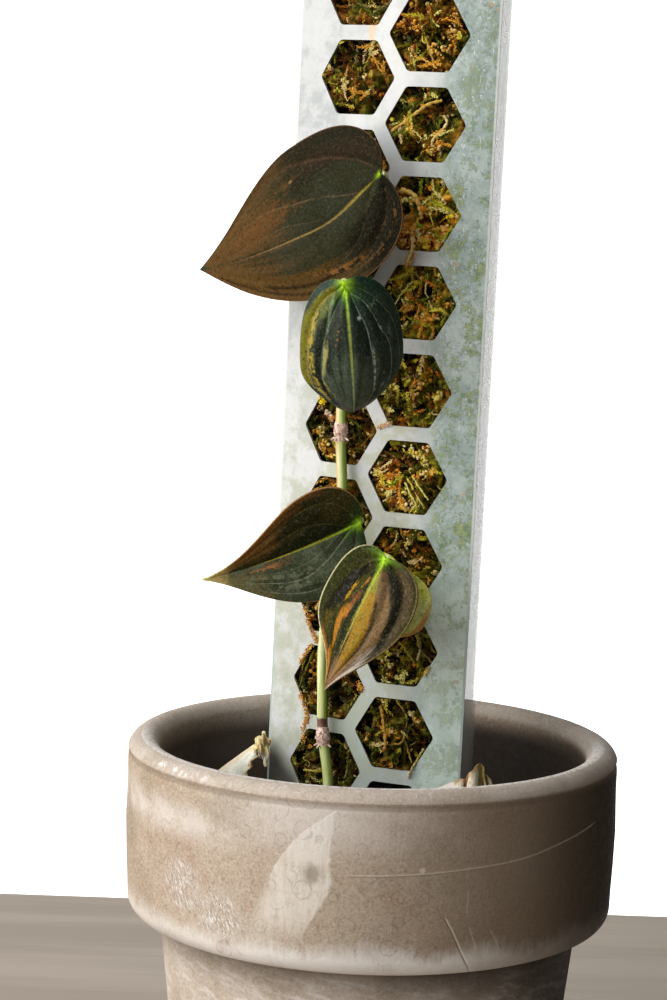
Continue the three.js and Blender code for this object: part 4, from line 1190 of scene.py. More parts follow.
def moss_crumbs(heap, centre, place, size, spread, kind, light, held=True, alike=1):
    """Crumbs strewn about places, measured from the window's centre. So many in a row are alike."""
    points, faces = crumb_ball()
    count = len(place)
    scale = rng.uniform(*size, (count, 1, 1)) * rng.uniform(0.6, 1.3, (count, 1, 3))
    rough = points * rng.uniform(0.7, 1.25, (count, len(points), 1))
    heart = place + rng.normal(0, spread, (count, 3)) * (1, 1, 0.45)
    tones = np.repeat(moss_tones(kind, count // alike + 1), alike, axis=0)[:count]
    tones = tones * light * rng.uniform(0.65, 1.15, (count, 1))
    if held:
        heart[:, 2] = hold_in(heart[:, 0], heart[:, 1], heart[:, 2], size[1], 0.1, -1.3 - size[1])
        # Painted shade: crumbs set deeper in a window are darker.
        tones = tones * np.clip(1 + place[:, 2:] / 4.5, 0.1, 1) ** 1.5
    lit = 0.75 + 0.35 * points[None, :, 2:]
    all_faces = faces + (np.arange(count) * len(points))[:, None, None]
    heap.add(centre, heart[:, None] + rough * scale, all_faces, tones[:, None] * lit, held=False)


def starts_near(line, centre, past):
    """True for a line that starts in a window, or no further than so many millimetres past it."""
    return in_window(line[0][0] - centre[0], line[0][1] - centre[1], -past)


def named_clumps(heap, centre, light):
    for across, height, spread, kind in MOSS_CLUMPS:
        x, y = across - centre[0], height - centre[1]
        if in_window(x, y, -2.5):
            count = int(CLUMP_CRUMBS * spread)
            heart = np.tile((x, y, -0.6), (count, 1))
            moss_crumbs(heap, centre, heart, CLUMP_CRUMB_SIZES, spread * 0.6, kind, light)


def named_fringes(heap, centre):
    for line, spread, kind in MOSS_FRINGES:
        if starts_near(line, centre, 4):
            path = smooth_path([(a - centre[0], h - centre[1], 0.15) for a, h in line], 9)
            heart = np.repeat(path, FRINGE_CRUMBS, axis=0)
            moss_crumbs(heap, centre, heart, FRINGE_CRUMB_SIZES, spread, kind, FRINGE_LIGHT, held=False)


def named_twigs(heap, centre, light):
    for line, thick, kind in MOSS_TWIGS:
        if starts_near(line, centre, 1):
            path = smooth_path([(a - centre[0], h - centre[1], d) for a, h, d in line], 6)
            path = path + rng.normal(0, 0.07, path.shape)
            radius = thick * (0.75 + 0.25 * np.sin(2.1 * np.arange(len(path))))
            points, faces = tubes(path[None], radius[None], 6)
            tints = moss_tones(kind, 1) * light * rng.uniform(0.4, 0.75, (len(path), 6, 1))
            heap.add(centre, points, faces, tints, held=False)


def make_moss(side):
    """All the moss in the windows of one column, above the soil."""
    sign, looks = (1, MOSS_LOOK_RIGHT) if side == "right" else (-1, MOSS_LOOK_LEFT)
    centres = [c for c in window_centres() if c[0] * sign > 0 and c[1] > LOWEST_MOSS_WINDOW]
    heap = MossHeap()
    for centre, (warmth, light) in zip(centres, looks):
        moss_bed(heap, centre, warmth, light)
        moss_sprigs(heap, centre, warmth, light)
        moss_strands(heap, centre, warmth, light)
        for kind in ("rust", "green"):
            x, y = scattered(MOSS_LUMPS)
            lumps = np.stack([x, y, mounds(centre, x, y) - 0.3], axis=1)
            crumbs = np.repeat(lumps, CRUMBS_PER_LUMP, axis=0)
            moss_crumbs(heap, centre, crumbs, CRUMB_SIZES, 0.6, kind, light, alike=CRUMBS_PER_LUMP)
        sunlit = min(max(light, 1), MOST_SUN)
        named_clumps(heap, centre, sunlit)
        named_fringes(heap, centre)
        named_twigs(heap, centre, sunlit)
    return heap.make("moss_growth_" + side)


def cap_places(x, y):
    """Places in the pole's section, x across and y back, on the lumpy top of the moss."""
    radius = np.hypot(x, PANEL_BOW_RADIUS - y)
    across = np.arctan2(x, PANEL_BOW_RADIUS - y) * PANEL_BOW_RADIUS
    lumps = 1.1 * clump_noise(x, y, 0.25, 2.2) + 0.8 * clump_noise(x, y, 0.8, 4.1)
    height = POLE_TOP - MOSS_CAP_BELOW_TOP + lumps.clip(-1.2, 1)
    return np.stack([across, height, radius - PANEL_BOW_RADIUS], axis=1), lumps


def cap_floor(heap, edge, middle):
    """A matted top with a short skirt down the inside of the sheet."""
    count = len(edge)
    shares = np.concatenate([[1], np.linspace(1, 0.05, MOSS_CAP_RINGS)])
    rings = (middle + (edge - middle) * shares[:, None, None]).reshape(-1, 2)
    places, lumps = cap_places(rings[:, 0], rings[:, 1])
    places[:count, 1] = POLE_TOP - MOSS_CAP_BELOW_TOP - MOSS_CAP_SKIRT
    ring, step = np.meshgrid(np.arange(MOSS_CAP_RINGS), np.arange(count), indexing="ij")
    a = (ring * count + step).ravel()
    b = (ring * count + (step + 1) % count).ravel()
    rust = clump_noise(rings[:, 0], rings[:, 1], 0.2, 6.6)
    tints = matted_tones(0.45 + 1.6 * rust, "6c6a1c", "86541a")
    shade = np.clip(0.6 + 0.5 * lumps, 0.1, 1.2)[:, None]
    heap.add((0, 0), places, np.stack([a, b, b + count, a + count], axis=-1), tints * shade, held=False)
    heap.faces.append([heap.count - count + k for k in range(count)])


def cap_spots(edge, middle, count, reach, power):
    """Places on the cap, up to a share of the way out. A power below 1 favours its edge."""
    outward = edge[rng.integers(0, len(edge), count)] - middle
    spots = middle + outward * (reach * rng.random((count, 1)) ** power)
    return cap_places(spots[:, 0], spots[:, 1])[0]


def cap_strands(heap, places):
    count = len(places)
    way = rng.normal(size=(count, 3)) * (1, 0.2, 1)
    path = wandering_paths(places, way, rng.uniform(2, 5, count), 7, 0.3)
    top = POLE_TOP - MOSS_CAP_BELOW_TOP
    path[..., 1] = path[..., 1].clip(top - 0.8, top + 1.6)
    points, faces = tubes(path, rng.uniform(*CAP_STRAND_RADII, (count, 1)) * np.linspace(1, 0.5, 8))
    tones = moss_tones("green", count) * rng.uniform(0.5, 1, (count, 1))
    heap.add((0, 0), points, faces, tones[:, None, None] * np.ones((1, 8, 3, 1)), held=False)


def make_moss_cap():
    """Loose moss that closes the top of the pole."""
    heap = MossHeap()
    edge = np.array(pole_section(MOSS_CAP_INSET))
    middle = edge.mean(axis=0)
    cap_floor(heap, edge, middle)
    for kind in ("rust", "green", "gold", "green"):
        places = cap_spots(edge, middle, MOSS_CAP_CRUMBS, 0.94, 0.5)
        moss_crumbs(heap, (0, 0), places, CAP_CRUMB_SIZES, 0.3, kind, CAP_LIGHT, held=False,
                    alike=CRUMBS_PER_LUMP)
    cap_strands(heap, cap_spots(edge, middle, MOSS_CAP_STRANDS, 0.75, 1))
    return heap.make("moss_cap")


def moss_finish():
    f = Finish("moss_growth", Roughness=0.75, Specular_IOR_Level=0.15)
    tint = f.node("ShaderNodeAttribute", {}, "Color", attribute_name="tint")
    speck = f.cloud(f.place(), 1800, 2)
    f.colour = f.mix(f.rise(speck, 0.5, 0.75, 0, 0.45), tint, "1a1206")
    f.paint()
    f.emboss(speck, 0.1)
    return f.material


# Vine


def smooth_path(points, steps):
    """A smooth curve through points, with so many steps from each to the next."""
    points = np.asarray(points, float)
    ends = [2 * points[0] - points[1], *points, 2 * points[-1] - points[-2]]
    out = []
    for p0, p1, p2, p3 in zip(ends, ends[1:], ends[2:], ends[3:]):
        for k in range(steps):
            t = k / steps
            out.append(0.5 * (2 * p1 + (p2 - p0) * t + (2 * p0 - 5 * p1 + 4 * p2 - p3) * t * t
                              + (3 * p1 - p0 - 3 * p2 + p3) * t ** 3))
    out.append(points[-1])
    return np.array(out)


def curve_through(points, t):
    """A curve from the first of four points to the last, drawn towards the two between."""
    p = np.asarray(points, float)
    u = 1 - t
    weights = (u ** 3, 3 * t * u * u, 3 * t * t * u, t ** 3)
    return sum(w[..., None] * corner for w, corner in zip(weights, p))


def round_bar(path, radii, resolution):
    """A round bar with its own radius at each point, closed at both ends."""
    curve = bpy.data.curves.new("bar", "CURVE")
    curve.dimensions = "3D"
    curve.bevel_depth = MM
    curve.bevel_resolution = resolution
    curve.use_fill_caps = True
    spline = curve.splines.new("POLY")
    spline.points.add(len(path) - 1)
    for point, spot, radius in zip(spline.points, path, radii):
        point.co = (*(Vector(spot) * MM), 1)
        point.radius = radius
    pick(placed("bar", curve))
    bpy.ops.object.convert(target="MESH")
    return bpy.context.object


def leaf_axes(leaf):
    heading, to_front, roll = (math.radians(leaf[k]) for k in ("heading", "to_front", "roll"))
    along = Vector((
        math.cos(heading) * math.cos(to_front),
        -math.sin(to_front),
        math.sin(heading) * math.cos(to_front),
    ))
    front = Vector((0, -1, 0))
    upright = (front - along * front.dot(along)).normalized()
    level = upright.cross(along)
    face = upright * math.cos(roll) + level * math.sin(roll)
    return along, face.cross(along), face


def stem_at(stem, height):
    """The stem's point at a height above the lip."""
    return stem[np.argmin(np.abs(stem[:, 2] - POT_HEIGHT - height))]


def stalk_path(leaf, stem):
    """From the stem's node to the back of the blade's base."""
    start = stem_at(stem, leaf["node"])
    _, _, face = leaf_axes(leaf)
    end = np.array(leaf["base"]) - 0.2 * np.array(face)
    across, up, off, arrival = leaf["stalk"]
    away = pole_way(across, up, off)
    apart = np.linalg.norm(end - start)
    corners = (start, start + away * apart * 0.4, end - np.array(face) * apart * arrival, end)
    return curve_through(corners, np.linspace(0, 1, 33))


def node_crust(stem, height):
    """Pale crumbs of root tips and old scale at the left of a bare node."""
    points, faces = crumb_ball()
    centre = stem_at(stem, height)
    crumbs = []
    for _ in range(CRUST_CRUMBS):
        turn = math.radians(rng.uniform(165, 275))
        out = STEM_RADIUS + NODE_SWELL * rng.uniform(0.1, 0.8)
        spot = centre + (out * math.cos(turn), out * math.sin(turn), rng.uniform(-1.8, 1.2))
        rough = points * rng.uniform(0.6, 1.3, (len(points), 1)) * rng.uniform(0.2, 0.42)
        crumbs.append(spot + rough)
    return strewn("crust", crumbs, faces)


def make_vine():
    stem = smooth_path(on_pole(*np.array(STEM_PATH).T), 16)
    node_levels = [POT_HEIGHT + h for h in BARE_NODES]
    node_levels += [POT_HEIGHT + leaf["node"] for leaf in LEAVES.values()]
    near = np.min(np.abs(stem[:, 2:3] - np.array(node_levels)[None, :]), axis=1)
    share = 1 - np.clip(near / NODE_HALF_LENGTH, 0, 1)
    radii = STEM_RADIUS + NODE_SWELL * np.sqrt(share) * (1 + 0.15 * np.cos(near * 9))
    bars = [round_bar(stem, radii, 6)]
    for leaf in LEAVES.values():
        path = stalk_path(leaf, stem)
        swell = np.linspace(0, 1, len(path))
        bars.append(round_bar(path, STALK_RADIUS * (1.15 - 0.25 * np.sin(math.pi * swell)), 4))
    for height in BARE_NODES:
        start = stem_at(stem, height - 1.2)
        for direction in NUB_DIRECTIONS:
            path = start + pole_way(*direction) * np.linspace(0, NUB_LENGTH, 8)[:, None]
            bars.append(round_bar(path, np.linspace(0.6, 0.2, 8), 3))
        bars.append(node_crust(stem, height))
    vine = joined(bars)
    spots = np.array([v.co for v in vine.data.vertices]) / MM
    nearest = np.argmin(np.abs(spots[:, 2:3] - stem[None, :, 2]), axis=1)
    offset = spots - stem[nearest]
    away = np.hypot(offset[:, 0], offset[:, 1])
    bare = np.array([POT_HEIGHT + h for h in BARE_NODES])
    close = np.min(np.abs(spots[:, 2:3] - bare[None, :]), axis=1)
    share = np.where((away > STEM_RADIUS + 0.12) & (close < 5), 1, 0)
    sunny = np.clip(-offset[:, 0] / STEM_RADIUS, -1, 1) * (away < 2 * STEM_RADIUS)
    note_values(vine, crust=share, sunny=sunny)
    return dress(vine, "vine", "vine_stem", stem_finish(), 60)


def stem_finish():
    f = Finish("stem", Roughness=0.4, Specular_IOR_Level=0.4)
    place = f.place()
    _, _, z = f.split(place)
    height = f.less(f.times(z, 1000), float(POT_HEIGHT))
    crust, sunny = f.noted("crust"), f.noted("sunny")
    long = f.cloud(f.stretch(place, (900, 900, 60)), 1, 3, 0.6)
    blotch = f.cloud(f.stretch(place, (500, 500, 90)), 1, 4, 0.65)
    ragged = f.sway(blotch, 0.8)
    f.colour = f.mix(f.rise(long, 0.35, 0.65), "ccd488", "eef0bc")
    lit = f.add(sunny, ragged)
    f.lay(f.rise(lit, 0.15, -0.5), "94b044")
    f.lay(f.rise(lit, -0.6, -1), "5c782e")
    f.lay(f.times(f.rise(lit, 0.5, 0.8), f.rise(height, 26, 60), 0.8), "d8ac78")
    scar = f.times(f.band(f.add(height, f.times(ragged, 3)), 26.5, 34, 1), f.rise(sunny, 0.5, -0.2))
    f.lay(f.times(scar, 0.8), "a88070")
    f.lay(f.times(f.rise(height, 6, -2), 0.45), "a4b45c")
    stray = f.sway(f.cloud(place, 900, 3), 1.4)
    band = f.add(f.calc("ABSOLUTE", f.less(height, DARK_BAND)), stray)
    brown = f.mix(f.rise(blotch, 0.4, 0.6), "5a3630", "7c5648")
    f.lay(f.rise(band, DARK_BAND_HALF + 0.3, DARK_BAND_HALF - 0.3), brown)
    patchy = f.rise(f.cloud(place, 1300, 3, 0.7), 0.38, 0.6)
    f.lay(f.rise(crust, 0.3, 0.7), f.mix(patchy, "a87868", "f4ddcc"))
    f.paint(f.rise(crust, 0, 0.5, 0.38, 0.8))
    f.emboss(f.add(long, blotch), 0.12)
    return f.material


# Leaves


def half_outline(half, t):
    _, lobe, widest, taper = half[:4]
    lower = curve_through(
        [(0, 0), (-0.9 * lobe, 0.16), (-1.35 * lobe, 1), (widest, 1)], t / WIDEST_AT)
    upper = curve_through(
        [(widest, 1), (widest + 0.3, 1), (1 - taper, 0.2), (1, 0)],
        (t - WIDEST_AT) / (1 - WIDEST_AT))
    return np.where((t <= WIDEST_AT)[..., None], lower, upper)


def vein_relief(t, q, finish):
    """How far the blade sinks along its midrib and side veins, in millimetres."""
    bend = np.array([finish.bend.evaluate(finish.bend.curves[0], float(v)) for v in t[:, 0]])
    rib = q - bend[:, None] * (1 - np.abs(q))
    relief = -finish.midrib_depth * np.exp(-((rib / 0.06) ** 2)) * (1 - t) ** 0.5
    for side, mapping, start, end, depth in finish.reliefs:
        line = np.array([mapping.evaluate(mapping.curves[0], float(v)) for v in t[:, 0]])
        gap = (np.abs(q) - line[:, None]) / 0.09
        ends = np.clip((t - start) / 0.08, 0, 1) * np.clip((end - t) / 0.15, 0, 1)
        relief = relief - depth * np.exp(-(gap ** 2)) * ends * (q * side > 0)
    return relief


def blade_points(leaf, t, q, relief):
    """The blade's middle surface in millimetres, over arrays of t (base to tip) and q."""
    along, across, face = (np.array(v) for v in leaf_axes(leaf))
    left = q >= 0
    pair = np.where(left[..., None], half_outline(leaf["left"], t), half_outline(leaf["right"], t))
    reach = np.abs(q)
    share = t ** 1.35 * (1 - reach) + pair[..., 0] * reach
    wide = pair[..., 1] * reach
    droop, curl, sweep = (math.radians(leaf[k]) for k in ("droop", "curl", "sweep"))
    table = np.linspace(-0.4, 1, 561)
    angles = droop * table + curl * np.maximum(table, 0) ** 3
    step = table[1] - table[0]
    mid = (angles[1:] + angles[:-1]) / 2
    run = np.concatenate([[0], np.cumsum(np.cos(mid) * step)]) * leaf["length"]
    fall = np.concatenate([[0], np.cumsum(np.sin(mid) * step)]) * leaf["length"]
    run = np.interp(share, table, run) - np.interp(0, table, run)
    fall = np.interp(share, table, fall) - np.interp(0, table, fall)
    angle = np.interp(share, table, angles)
    halves = [np.where(left, leaf["left"][k], leaf["right"][k]) for k in (0, 4, 5)]
    width, fold, curve = halves[0], np.radians(halves[1]), np.radians(halves[2])
    spread = width * (np.sin(fold + curve * wide) - np.sin(fold)) / curve
    sink = width * (np.cos(fold) - np.cos(fold + curve * wide)) / curve
    sideways = np.sign(q) * spread
    wave = 0.25 * np.sin(15 * t + 2 * q) * reach ** 4 * np.sin(math.pi * t)
    lift = relief + wave
    x = run - sideways * np.sin(sweep * share) * np.cos(angle) - sink * np.sin(angle)
    y = leaf["length"] * sweep * share * share / 2 + sideways * np.cos(sweep * share)
    z = -fall - sink * np.cos(angle) + lift
    return (np.array(leaf["base"]) + x[..., None] * along + y[..., None] * across
            + z[..., None] * face)


def make_leaf(name, finish):
    """A gridded sheet bent to the blade's shape, thickened and smoothed."""
    leaf = LEAVES[name]
    fresh()
    bpy.ops.mesh.primitive_grid_add(x_subdivisions=LEAF_COLUMNS, y_subdivisions=LEAF_ROWS, size=2)
    blade = bpy.context.object
    flat = np.array([v.co for v in blade.data.vertices]).reshape(LEAF_ROWS + 1, LEAF_COLUMNS + 1, 3)
    t = np.clip((flat[..., 1] + 1) / 2, 0, 1)
    q = -flat[..., 0]
    shaped = blade_points(leaf, t, q, vein_relief(t, q, finish))
    blade.data.vertices.foreach_set("co", (shaped * MM).ravel())
    blade.data.update()
    edit_whole(blade, bpy.ops.mesh.remove_doubles, threshold=2e-6)
    face = leaf_axes(leaf)[2]
    total = sum((p.normal * p.area for p in blade.data.polygons), Vector())
    if total.dot(face) < 0:
        edit_whole(blade, bpy.ops.mesh.flip_normals)
    apply_modifier(blade, "SOLIDIFY", thickness=LEAF_THICKNESS * MM, offset=0)
    return dress(blade, name + "_blade", name, finish.material, 60)


# The halves of a blade, by the sign of q: q runs from the right edge (-1) over the midrib (0)
# to the left edge (1), seen from base to tip, and t runs from the base (0) to the tip (1).
RIGHT = -1
LEFT = 1


class LeafFinish(Finish):
    """A velvet blade, painted by t and q from its UV map."""

    def __init__(self, name, seed, midrib_depth, gloss, bend=((0, 0), (1, 0))):
        super().__init__(name, Roughness=0.5, Specular_IOR_Level=gloss)
        uv = self.node("ShaderNodeUVMap", {}, uv_map="UVMap")
        u, v, _ = self.split(uv)
        self.t = v
        self.q = self.less(1, self.times(u, 2))
        self.reach = self.calc("ABSOLUTE", self.q)
        drift, self.bend = self.drawn(self.t, bend)
        bent = self.less(self.q, self.times(drift, self.less(1, self.reach)))
        self.from_rib = self.calc("ABSOLUTE", bent)
        self.spot = self.place()
        self.mottle = self.cloud(self.spot, 420, 4, 0.75)
        self.grain = self.cloud(self.spot, 2300, 1, 0.5)
        self.nap = self.cloud(self.spot, 1500, 3, 0.8)
        self.soft = self.cloud(self.spot, 90, 3, 0.55)
        along = self.node("ShaderNodeCombineXYZ", {"X": self.times(self.q, 9),
                                                   "Y": self.times(self.t, 2.4), "Z": float(seed)})
        self.strokes = self.cloud(along, 1, 4, 0.65)
        self.stray = self.less(self.strokes, 0.5)
        self.fray = self.less(self.cloud(along, 6, 3, 0.7), 0.5)
        self.torn = self.add(self.sway(self.mottle, 0.9), self.times(self.fray, 0.4))
        self.midrib_depth = midrib_depth
        self.reliefs = []

    def gap_to(self, side, points):
        """How far a place lies from a line of (t, reach) points in one half."""
        line, mapping = self.drawn(self.t, points)
        in_half = self.rise(self.times(self.q, float(side)), -0.005, 0.005)
        gap = self.calc("ABSOLUTE", self.less(self.reach, line))
        return self.add(gap, self.times(self.less(1, in_half), 5)), mapping

    def ground(self, first, second):
        return self.mix(self.rise(self.soft, 0.35, 0.65), first, second)

    def vein(self, side, points, colour, amount=0.6, wide=0.014, depth=0.15):
        gap, mapping = self.gap_to(side, points)
        start, end = points[0][0], points[-1][0]
        fade = self.times(self.rise(self.t, start, start + 0.05), self.rise(self.t, end, end - 0.2))
        fade = self.times(fade, self.rise(self.mottle, 0.36, 0.58, 0.3, 1))
        self.lay(self.times(self.rise(gap, wide * 1.2, 0), fade, amount), colour)
        self.reliefs.append((side, mapping, start, end, depth))

    def streak(self, side, points, half, colour, amount=0.9, ragged=0.5, soft=0.03):
        """A frayed band along a line, as variegation runs along the veins."""
        gap, _ = self.gap_to(side, points)
        gap = self.add(gap, self.times(self.stray, ragged * 0.5), self.times(self.torn, ragged * 0.3))
        start, end = points[0][0], points[-1][0]
        t = self.add(self.t, self.times(self.torn, 0.15))
        ends = self.band(t, start, end, 0.03)
        self.lay(self.times(self.rise(gap, half + soft, half - soft), ends, amount), colour)

    def crumbs(self, side, points, half, colour, amount=0.9, share=0.5):
        """A band along a line that is broken up into ragged flecks."""
        gap, _ = self.gap_to(side, points)
        start, end = points[0][0], points[-1][0]
        area = self.times(self.rise(gap, half, half * 0.3), self.band(self.t, start, end, 0.04))
        level = 0.5 + (0.5 - share) * 0.3
        broken = self.rise(self.add(self.mottle, self.times(self.stray, 0.6)), level, level + 0.06)
        self.lay(self.times(area, broken, amount), colour)

    def patch(self, colour, t_low, t_high, q_low, q_high, amount=1, ragged=0.5, soft=0.06):
        """A frayed patch between limits of t and q."""
        t = self.add(self.t, self.times(self.stray, ragged * 0.6))
        q = self.add(self.q, self.times(self.stray, ragged), self.times(self.fray, ragged * 0.5))
        area = self.times(self.band(t, t_low, t_high, soft), self.band(q, q_low, q_high, soft))
        self.lay(self.times(area, amount), colour)

    def midrib(self, base, middle, tip, wide=0.02, base_wide=2.2):
        narrowing = self.rise(self.t, 0, 0.5, wide * base_wide, wide)
        near = self.rise(self.calc("DIVIDE", self.from_rib, narrowing), 1.4, 0.2)
        near = self.times(near, self.rise(self.mottle, 0.3, 0.5, 0.65, 1))
        along = self.mix(self.rise(self.add(self.t, self.times(self.torn, 0.1)), 0.12, 0.38), base, middle)
        self.lay(near, self.mix(self.rise(self.t, 0.5, 0.85), along, tip))

    def base_point(self, colour, size):
        """The bright spot where the stalk meets the blade."""
        near = self.add(self.t, self.times(self.reach, 0.12), self.times(self.torn, 0.06))
        self.lay(self.rise(near, size * 1.4, size * 0.2), colour)

    def rim(self, colour, amount, wide=0.02):
        self.lay(self.rise(self.reach, 1 - wide, 1 - wide * 0.4, 0, amount), colour)

    def done(self, painted_sparkle, gloss=(0.6, 0.42), dark=0.5, light=0.3):
        """Lays the velvet's own fine grain and a painted sparkle of light specks over the colours, and
        finishes the shader.
        """
        self.lay(self.rise(self.nap, 0.5, 0.36, 0, dark), "0d0d07")
        self.lay(self.rise(self.nap, 0.53, 0.68, 0, light), painted_sparkle)
        self.paint(self.rise(self.mottle, 0.3, 0.7, *gloss))
        relief = self.add(self.times(self.nap, 0.8), self.times(self.mottle, 0.7),
                          self.times(self.strokes, 0.6))
        self.emboss(relief, 0.16, 0.8)
        return self


def top_leaf_finish():
    bend = [(0, 0), (0.2, 0.03), (0.42, 0.083), (0.5, 0.075), (0.6, 0.047), (0.72, 0.04), (0.86, 0.05),
            (1, 0)]
    f = LeafFinish("leaf_bronze", 1, 0.35, 0.03, bend)
    outward = f.times(f.less(f.reach, 0.4), 0.35)
    tipward = f.rise(f.add(f.t, outward, f.times(f.stray, 0.7), f.times(f.torn, 0.4)), 0.45, 0.95)
    f.colour = f.mix(tipward, f.ground("292916", "303222"), "5c4220")
    f.patch("201d10", -0.1, 0.5, -1.1, -0.5, 0.85, 0.3)
    f.patch("34271a", -0.1, 0.45, -0.8, -0.6, 0.6, 0.4)
    f.patch("15140b", -0.1, 0.42, 0.4, 1.1, 0.9)
    f.patch("5c431e", 0.46, 0.9, 0.55, 1.1, 0.7, 0.4)
    f.patch("644420", 0.62, 0.86, -0.62, -0.1, 0.55, 0.7)
    f.crumbs(RIGHT, [(0.5, 0.5), (0.7, 0.45), (0.95, 0.4)], 0.35, "684420", 0.5, 0.45)
    # Painted shade darkens the blade along its folds.
    fold = "150f07"
    f.streak(LEFT, [(0.3, 0.62), (0.42, 0.68), (0.55, 0.76), (0.7, 0.78)], 0.028, fold, 0.75, 0.25)
    f.streak(LEFT, [(0.45, 0.9), (0.6, 0.9), (0.75, 0.88), (0.88, 0.86)], 0.03, fold, 0.7, 0.2)
    f.streak(LEFT, [(0.1, 0.6), (0.2, 0.75), (0.32, 0.86), (0.42, 0.9)], 0.03, fold, 0.6, 0.3)
    rust = "604420"
    f.crumbs(LEFT, [(0.2, 0.8), (0.33, 0.88), (0.42, 0.84)], 0.05, rust)
    f.crumbs(LEFT, [(0.3, 0.7), (0.4, 0.75), (0.47, 0.73)], 0.04, rust, 0.8, 0.4)
    f.crumbs(LEFT, [(0.42, 0.75), (0.46, 0.72), (0.55, 0.63)], 0.07, "84582c", 0.95, 0.55)
    f.crumbs(LEFT, [(0.08, 0.45), (0.18, 0.62), (0.26, 0.7)], 0.03, "4a3a20", 0.8)
    f.patch("94704e", 0.495, 0.508, -0.645, -0.615, 0.9, 0, 0.006)
    brown, tan = "4e3826", "705a42"
    f.vein(RIGHT, [(0.02, 0.1), (0.08, 0.3), (0.16, 0.43), (0.31, 0.56), (0.41, 0.7), (0.47, 0.79),
        (0.56, 0.86), (0.7, 0.9), (0.95, 0.95)], brown, 0.85, 0.03, 0.5)
    f.vein(RIGHT, [(0.22, 0.01), (0.35, 0.14), (0.45, 0.28), (0.55, 0.39), (0.63, 0.52), (0.71, 0.62),
        (0.9, 0.74)], tan, 0.75)
    f.vein(RIGHT, [(0.46, 0), (0.53, 0.08), (0.62, 0.19), (0.7, 0.23), (0.8, 0.26), (0.95, 0.3)], tan,
        0.45, 0.014, 0.1)
    f.vein(LEFT, [(0.02, 0.3), (0.08, 0.52), (0.22, 0.67), (0.33, 0.71), (0.4, 0.77), (0.47, 0.8),
        (0.7, 0.86), (0.9, 0.9)], brown, 0.5, 0.016, 0.5)
    f.vein(LEFT, [(0.08, 0.08), (0.18, 0.2), (0.28, 0.33), (0.37, 0.5), (0.45, 0.62), (0.53, 0.69),
        (0.61, 0.7), (0.73, 0.69), (0.9, 0.66)], brown, 0.5, 0.014, 0.4)
    f.vein(LEFT, [(0.35, 0.02), (0.5, 0.2), (0.65, 0.33), (0.85, 0.4)], brown, 0.35, 0.012)
    f.midrib("9c902c", "8c7440", "785c44", 0.019, 3.6)
    f.base_point("b0dc20", 0.095)
    f.rim("7c553a", 0.75, 0.018)
    f.lay(f.rise(f.add(f.t, f.times(f.torn, 0.1)), 0.955, 0.985), "3a3c26")
    return f.done("6e6248", light=0.26)


